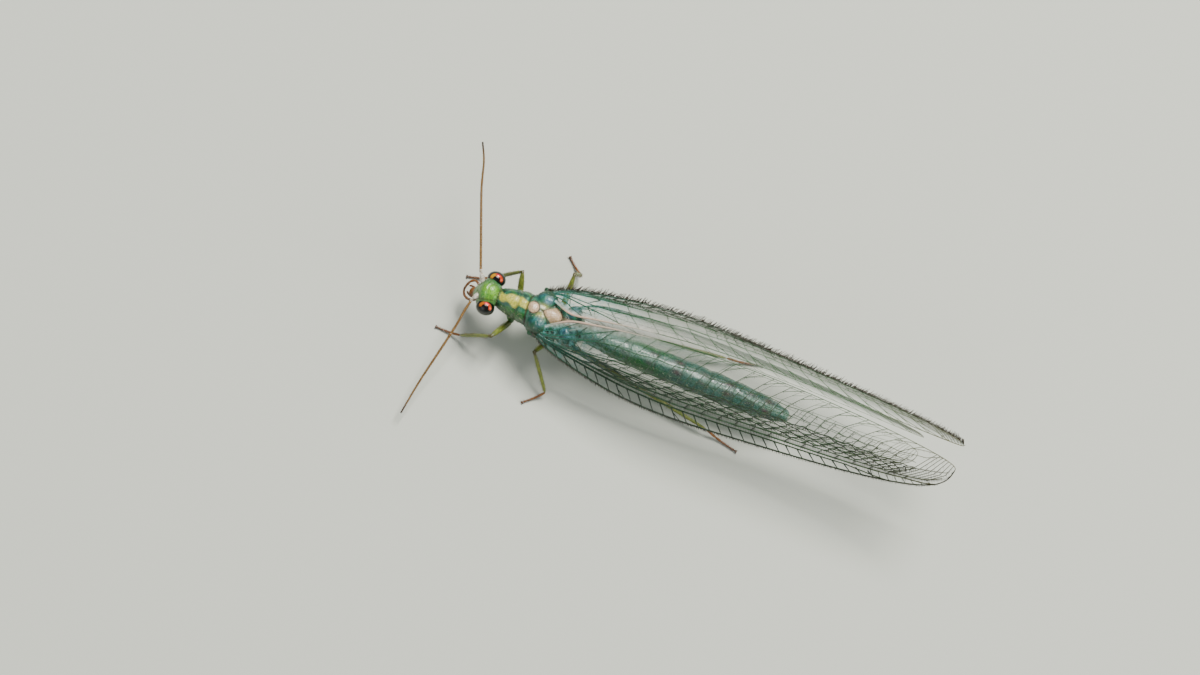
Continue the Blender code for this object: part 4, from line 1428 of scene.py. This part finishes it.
# %% Feelers
FEELERS = {
    "left": (
        ((0.2, -2.08, 1.96), (0.3, -2.14, 2.0), (0.4, -2.2, 1.99)),
        ((0.44, -2.22, 1.97), (0.8, -2.3, 1.82), (1.3, -2.38, 1.58), (2.2, -2.58, 1.2),
         (3.2, -2.8, 0.84), (4.22, -2.97, 0.52)),
    ),
    "right": (
        ((-0.2, -2.08, 1.96), (-0.32, -2.17, 2.05), (-0.44, -2.26, 2.13)),
        ((-0.48, -2.29, 2.15), (-0.95, -2.48, 2.27), (-1.5, -2.7, 2.4), (-2.2, -2.98, 2.53),
         (-2.85, -3.23, 2.65), (-3.6, -3.46, 2.8), (-4.07, -3.69, 2.89)),
    ),
}
RING_LENGTH = 0.078
RING_OVERLAP = 1.04
WHIP_RADII = ((0.0, 0.043), (0.5, 0.04), (1.0, 0.028))
WHIP_HAIR = 0.045
WHIP_POINTS = 120
HAIRS_ROUND = 4
SCAPE_POINTS = 16
BUD_POINTS = 10


def ring_tree():
    """Barrel-shaped rings along a path."""
    inputs = (("Rings", "Int", 50), ("Ring Length", "Float", 0.08), ("Waist", "Float", 0.3))
    growth = Growth("feeler_rings", *inputs)
    line = growth.add("GeometryNodeMeshToCurve", {"Mesh": growth.given["Geometry"]})
    links = {"Curve": line, "Count": growth.given["Rings"]}
    spots = growth.node("GeometryNodeCurveToPoints", links, mode="COUNT").outputs
    links = {"Vertices": 10, "Side Segments": 5, "Radius": 1.0, "Depth": 1.0}
    drum = growth.add("GeometryNodeMeshCylinder", links)
    x, y, z = growth.parts(growth.add("GeometryNodeInputPosition"))
    steep = growth.maths("POWER", growth.maths("ABSOLUTE", growth.maths("MULTIPLY", z, 2.0)), 3.0)
    girth = growth.maths("SUBTRACT", 1.0, growth.maths("MULTIPLY", steep, growth.given["Waist"]))
    shaped = growth.joined(growth.maths("MULTIPLY", x, girth), growth.maths("MULTIPLY", y, girth), z)
    barrel = growth.add("GeometryNodeSetPosition", {"Geometry": drum, "Position": shaped})
    thick = growth.field("thick")
    size = (thick, thick, growth.given["Ring Length"])
    return growth.scattered(spots["Points"], barrel, spots["Rotation"], *size)


def horn_finish(name, roughness, coat, scale, stops, end, glow, bumps, pale=None):
    """Translucent horn with fine grain, darker or paler where it is painted so."""
    horn = Finish(name, roughness, coat)
    grain = horn.noise(scale, 4.0)
    colour = horn.ramp(grain, *stops)
    if pale:
        colour = horn.lay("pale", colour, horn.ramp(grain, *pale))
    colour = horn.lay("dark", colour, end)
    weight, depth = glow
    size, *height = bumps
    sockets = {"Subsurface Weight": weight, "Subsurface Scale": depth * MM}
    return horn.finished(colour, (horn.noise(size), *height), sockets)


def knob_profile(count, start, middle, end):
    """Radii along a short joint, rounded at both ends."""
    shares = np.linspace(0.0, 1.0, count)
    radii = np.array([along(((0.0, start), (0.5, middle), (1.0, end)), share) for share in shares])
    return radii * np.sqrt(np.clip(1.0 - (2.0 * shares - 1.0) ** 8, 0.06, 1.0))


def sideways_from(way):
    """A random direction square to a way."""
    out = Vector(RANDOM.normal(0.0, 1.0, 3))
    return (out - way * out.dot(way)).normalized()


RINGS = ring_tree()
FEELER = horn_finish(
    "feeler_horn", 0.45, 0.15, 20.0, ((0.35, 96, 66, 20), (0.65, 146, 108, 46)), (44, 26, 12),
    (0.1, 0.03), (60.0, 0.004, 0.5), pale=((0.36, 150, 138, 118), (0.56, 204, 200, 186)),
)


def feeler(base, whip):
    """A base joint, a second joint, the whip of rings and its short hairs."""
    scape = smooth_path(base, SCAPE_POINTS)
    bud_end = Vector(whip[0]).lerp(Vector(whip[1]), 0.12)
    bud = smooth_path([base[-1], whip[0], bud_end], BUD_POINTS)
    stout = [
        (scape, knob_profile(SCAPE_POINTS, 0.088, 0.082, 0.05), 0.0),
        (bud, knob_profile(BUD_POINTS, 0.044, 0.05, 0.044), 0.2),
    ]
    foot = swept(stout, 16, FEELER)
    paint(foot, pale=0.9)
    route = smooth_path(whip, WHIP_POINTS)
    length = float(np.linalg.norm(np.diff(route, axis=0), axis=1).sum())
    shares = np.linspace(0.0, 1.0, len(route))
    radii = np.array([along(WHIP_RADII, share) for share in shares])
    darkness = 0.1 + 0.25 * shares + 0.65 * ease(shares, 0.9, 0.97)
    rings = round(length / RING_LENGTH)
    values = {"Rings": rings, "Ring Length": RING_LENGTH * RING_OVERLAP, "Waist": 0.22, "Finish": FEELER}
    lash = grow(path_mesh([(route, radii, darkness)]), RINGS, values)
    hairs = []
    for point, ahead, radius in zip(route[:-1], route[1:], radii):
        way = Vector(ahead - point).normalized()
        for _ in range(HAIRS_ROUND):
            out = sideways_from(way)
            hairs.append((Vector(point) + out * radius * 0.9, (out + way * 1.4).normalized(), WHIP_HAIR))
    print(rings, "rings over", round(length, 2), "mm")
    return joined_mesh("feeler", foot, lash, hair_mesh(hairs, 0.0035, 0.0, FEELER, 0.6))


for side_name, (base, whip) in FEELERS.items():
    set_piece("feeler_" + side_name, feeler(base, whip), ("antenna_" + side_name,))

# %% [markdown]
# ## Legs
# The six slender legs have a thigh, a shin that is a little swollen in the middle, and a foot of five
# short joints that ends in two hooked claws with a soft pad between them. Each length is swept along
# its path with its own run of radii. Thighs and shins carry short hairs. They are olive, and the feet
# are tan, darker towards the claws.

# %% Legs
LEGS = (
    ("front_left", (0.34, -0.88, 0.8), (1.17, -1.26, 1.5), (1.24, -2.2, 0.34), (1.21, -2.98, 0.05)),
    ("front_right", (-0.34, -0.88, 0.8), (-1.11, -1.11, 1.5), (-0.84, -1.95, 0.34), (-0.66, -2.68, 0.05)),
    ("middle_left", (0.36, 0.45, 0.58), (1.09, 0.15, 1.35), (1.94, 0.92, 0.34), (2.42, 0.38, 0.05)),
    ("middle_right", (-0.36, 0.45, 0.58), (-1.66, 0.42, 1.45), (-1.98, 0.6, 0.34), (-2.46, 0.08, 0.05)),
    ("hind_left", (0.33, 1.1, 0.56), (0.72, 3.2, 0.74), (1.12, 6.0, 0.34), (1.36, 7.1, 0.05)),
    ("hind_right", (-0.33, 1.1, 0.56), (-0.76, 3.1, 0.74), (-1.24, 5.8, 0.34), (-1.5, 6.9, 0.05)),
)
FOOT_JOINTS = (0.0, 0.36, 0.54, 0.68, 0.8, 0.96)
THIGH_POINTS = 26
SHIN_POINTS = 30
FOOT_POINTS = 80
CLAW_POINTS = 12
PAD_POINTS = 8
CLAW = 0.1
HAIR_SPAN = (0.06, 0.97)
HAIR_LEAN = 0.9
HAIR_SINK = 0.9
FLOOR_GAP = 0.01
UP = Vector((0.0, 0.0, 1.0))
SHANK = horn_finish(
    "leg_olive", 0.4, 0.2, 16.0, ((0.34, 78, 92, 28), (0.66, 122, 130, 50)), (58, 48, 16),
    (0.2, 0.05), (50.0, 0.005, 0.5),
)
FOOT = horn_finish(
    "foot_tan", 0.4, 0.2, 16.0, ((0.34, 92, 54, 16), (0.66, 138, 86, 28)), (50, 28, 10),
    (0.2, 0.05), (50.0, 0.005, 0.5),
)


def hairs_along(route, radii, count, length):
    """Short hairs round a path, leaning towards its end and clear of the floor."""
    hairs = []
    for _ in range(count):
        place = RANDOM.uniform(*HAIR_SPAN) * (len(route) - 1)
        index = int(place)
        start, end = Vector(route[index]), Vector(route[index + 1])
        point = start.lerp(end, place - index)
        way = (end - start).normalized()
        out = sideways_from(way)
        if point.z + out.z * (radii[index] + length) >= FLOOR_GAP:
            root = point + out * radii[index] * HAIR_SINK
            hairs.append((root, (out + way * HAIR_LEAN).normalized(), length))
    return hairs


def shank_of(hip, knee, ankle):
    """Thigh and shin with their hairs."""
    arch = UP * 0.05
    thigh = smooth_path([hip, Vector(hip).lerp(Vector(knee), 0.5) + arch, knee], THIGH_POINTS)
    shin = smooth_path([knee, Vector(knee).lerp(Vector(ankle), 0.5) + arch * 0.6, ankle], SHIN_POINTS)
    thigh_radii = knob_profile(THIGH_POINTS, 0.085, 0.098, 0.062)
    shin_radii = knob_profile(SHIN_POINTS, 0.052, 0.062, 0.048)
    shadow = 0.7 * ease(np.linspace(0.0, 1.0, THIGH_POINTS), 0.86, 1.0)
    fade = 0.7 - 0.7 * ease(np.linspace(0.0, 1.0, SHIN_POINTS), 0.0, 0.12)
    bend = [Vector(thigh[-3]), Vector(knee), Vector(shin[2])]
    paths = [
        (thigh, thigh_radii, shadow),
        (shin, shin_radii, fade),
        (bend, (0.045, 0.062, 0.045), 0.8),
    ]
    hairs = hairs_along(thigh, thigh_radii, 90, 0.07) + hairs_along(shin, shin_radii, 170, 0.075)
    return joined_mesh("shank", swept(paths, 18, SHANK), hair_mesh(hairs, 0.004, 0.01, SHANK, 0.95))


def foot_of(ankle, toe):
    """Five foot joints, the claws and the pad between them."""
    ankle, toe = Vector(ankle), Vector(toe)
    knuckle = ankle.lerp(toe, 0.42)
    knuckle.z = toe.z + 0.055
    route = smooth_path([ankle, knuckle, toe], FOOT_POINTS)
    paths = []
    for number, (start, end) in enumerate(zip(FOOT_JOINTS[:-1], FOOT_JOINTS[1:])):
        first, last = (int(share * (FOOT_POINTS - 1)) for share in (start, end))
        part = route[first:last + 2]
        radii = knob_profile(len(part), 0.034, 0.04, 0.044) * (1.0 - 0.05 * number)
        paths.append((part, radii, 0.12 * number))
    way = Vector(route[-1] - route[-12]).normalized()
    across = way.cross(UP).normalized()
    for side in (-1.0, 1.0):
        root = toe - way * 0.04
        bend = root + way * CLAW * 0.7 + across * side * 0.045 + UP * 0.012
        point = root + way * CLAW + across * side * 0.06 - UP * 0.03
        hook = smooth_path([root, bend, point], CLAW_POINTS)
        paths.append((hook, np.linspace(0.018, 0.004, CLAW_POINTS), 1.0))
    pad = smooth_path([toe - way * 0.03, toe + way * 0.03, toe + way * 0.055], PAD_POINTS)
    paths.append((pad, knob_profile(PAD_POINTS, 0.026, 0.036, 0.028), 0.6))
    hairs = hairs_along(route, np.full(len(route), 0.04), 70, 0.045)
    return joined_mesh("foot", swept(paths, 14, FOOT), hair_mesh(hairs, 0.0035, 0.0, FOOT, 0.9))


for name, hip, knee, ankle, toe in LEGS:
    node = "leg_" + name
    set_piece(node + "_shank", shank_of(hip, knee, ankle), (node + "_femur", node + "_tibia"))
    set_piece(node + "_foot", foot_of(ankle, toe), (node + "_tarsus",))

# %% [markdown]
# ## Mouth parts
# Seen from above, two pairs of jointed mouth feelers curl forward from under the face, tan and
# amber, with the upper lip between them. The lip and jaws are lumps fused like the body, and the
# feelers are swept with a swelling at each joint.

# %% Mouth parts
PALPS = (
    (0.045, (-0.13, -2.12, 1.0), (-0.33, -2.24, 1.03), (-0.4, -2.37, 1.01), (-0.33, -2.5, 0.98),
     (-0.15, -2.58, 0.96), (0.03, -2.6, 0.94)),
    (0.045, (0.13, -2.12, 1.0), (0.21, -2.25, 1.01), (0.22, -2.38, 0.98), (0.16, -2.5, 0.95),
     (0.06, -2.57, 0.91), (-0.05, -2.6, 0.87)),
    (0.038, (-0.1, -2.16, 0.9), (-0.2, -2.28, 0.88), (-0.24, -2.4, 0.86), (-0.22, -2.5, 0.84)),
    (0.038, (0.06, -2.16, 0.9), (0.08, -2.3, 0.88), (0.04, -2.42, 0.86), (-0.04, -2.5, 0.84)),
)
MOUTH_LUMPS = (
    ((-0.01, -2.21, 1.16), (0.16, 0.11, 0.13), -30.0, 28, 18),
    ((0.0, -2.12, 0.92), (0.16, 0.13, 0.16), 0.0, 28, 18),
    ((-0.06, -2.31, 0.93), (0.17, 0.13, 0.1), 0.0, 28, 18),
    ((0.12, -2.15, 1.04), (0.07, 0.08, 0.14), 0.0, 20, 14),
    ((-0.12, -2.15, 1.04), (0.07, 0.08, 0.14), 0.0, 20, 14),
    ((0.0, -2.04, 0.84), (0.15, 0.14, 0.1), 0.0, 28, 18),
    ((0.0, -1.98, 1.1), (0.22, 0.16, 0.22), 0.0, 28, 18),
)


def palp_radii(count, thick, joints):
    """Radii that swell between the joints."""
    shares = np.linspace(0.0, 1.0, count)
    swell = 0.78 + 0.22 * np.abs(np.sin(math.pi * joints * shares)) ** 0.6
    ends = np.sqrt(np.clip(1.0 - (2.0 * shares - 1.0) ** 10, 0.08, 1.0))
    return thick * swell * ends * (1.0 - 0.12 * shares)


def mouth_mesh():
    """Upper lip, jaws, lower lip and the four mouth feelers."""
    jaws = fused([lump(*values) for values in MOUTH_LUMPS])
    paint(jaws, dark=0.5 * bell(points_of(jaws)[:, 2] - 1.06, 0.05))
    jaws.materials.append(FOOT)
    paths = []
    for thick, *route in PALPS:
        joints = len(route) - 1
        count = 14 * joints
        darkness = 0.15 + 0.5 * np.linspace(0.0, 1.0, count) ** 2
        paths.append((smooth_path(route, count), palp_radii(count, thick, joints), darkness))
    return joined_mesh("mouth", jaws, swept(paths, 14, FOOT))


set_piece("mouth_parts", mouth_mesh(), ("mouthparts",))

# %% [markdown]
# ## Fine hairs of the body
# Short pale hairs stand all over the body, densest on the sides of the collar and on the abdomen. A
# tree scatters roots over the skin by a painted density, with a fixed seed, and sets the same
# straight spike on each, laid back along the body. Each hair's patch of its map lies at its root's
# place on an unrolled body.

# %% Fine hairs of the body
HAIR_DENSITY = 95.0
HAIR_LENGTH = 0.085
HAIR_WIDTH = 0.004
LAID_BACK = (0.0, 0.9, 0.15)
UNROLL_HEIGHT = 1.5
UNROLL_START = 2.4
UNROLL_LENGTH = 11.0
PATCH = 0.0015


def down_tree():
    """Scatter laid-back hairs over a skin by its painted density."""
    floats = (("Density", "Float", 60.0), ("Length", "Float", 0.09), ("Root Width", "Float", 0.004))
    growth = Growth("down", *floats, ("Seed", "Int", 3))
    given = growth.given
    density = growth.maths("MULTIPLY", growth.field("downy"), given["Density"])
    links = {"Mesh": given["Geometry"], "Density": density, "Seed": given["Seed"]}
    kind = "GeometryNodeDistributePointsOnFaces"
    spots = growth.node(kind, links, distribute_method="RANDOM").outputs
    links = {"Geometry": spots["Points"], "Name": "root", "Value": growth.add("GeometryNodeInputPosition")}
    kind = "GeometryNodeStoreNamedAttribute"
    kept = growth.add(kind, links, data_type="FLOAT_VECTOR", domain="POINT")
    lie = growth.add("ShaderNodeVectorMath", {0: spots["Normal"], 1: LAID_BACK}, operation="ADD")
    links = {2: 0.6, 3: 1.2, "Seed": given["Seed"]}
    chance = growth.add("FunctionNodeRandomValue", links, 1, data_type="FLOAT")
    reach = growth.maths("MULTIPLY", chance, given["Length"])
    return growth.scattered(kept, growth.spike(0.0), growth.turned(lie), 1.0, 1.0, reach)


def map_hairs(mesh):
    """Give each hair its small patch on the unrolled body."""
    roots = np.empty(len(mesh.vertices) * 3)
    mesh.attributes["root"].data.foreach_get("vector", roots)
    x, y, z = roots.reshape(-1, 3).T
    around = np.arctan2(x, z - UNROLL_HEIGHT) / (2.0 * math.pi) + 0.5
    lengthwise = (y + UNROLL_START) / UNROLL_LENGTH
    corners = np.empty(len(mesh.loops), np.int32)
    mesh.loops.foreach_get("vertex_index", corners)
    patch = PATCH * np.column_stack([np.cos(2.1 * corners), np.sin(2.1 * corners)])
    values = np.column_stack([around[corners], lengthwise[corners]]) + patch
    layer = mesh.uv_layers.new(name="OFBake")
    layer.data.foreach_set("uv", values.astype(np.float32).ravel())


hair_ground = body_skin.copy()
hair_ground.transform(INTO_FRAME.inverted())
ground_x, ground_y, _ = points_of(hair_ground).T
on_collar = ease(ground_y, -1.45, -1.3) * (1.0 - ease(ground_y, -0.65, -0.5))
on_collar = on_collar * ease(np.abs(ground_x), 0.2, 0.4)
paint(hair_ground, downy=0.25 + 0.55 * on_collar + 0.25 * ease(ground_y, 1.3, 1.6))
hair_values = {
    "Density": HAIR_DENSITY,
    "Length": HAIR_LENGTH,
    "Root Width": HAIR_WIDTH,
    "Seed": 3,
    "Finish": hair_finish("body_down", 0.35, 6.0, (0.35, 170, 184, 120), (0.65, 222, 222, 180)),
}
hairs = grow(hair_ground, down_tree(), hair_values)
map_hairs(hairs)
set_piece("body_down", hairs)
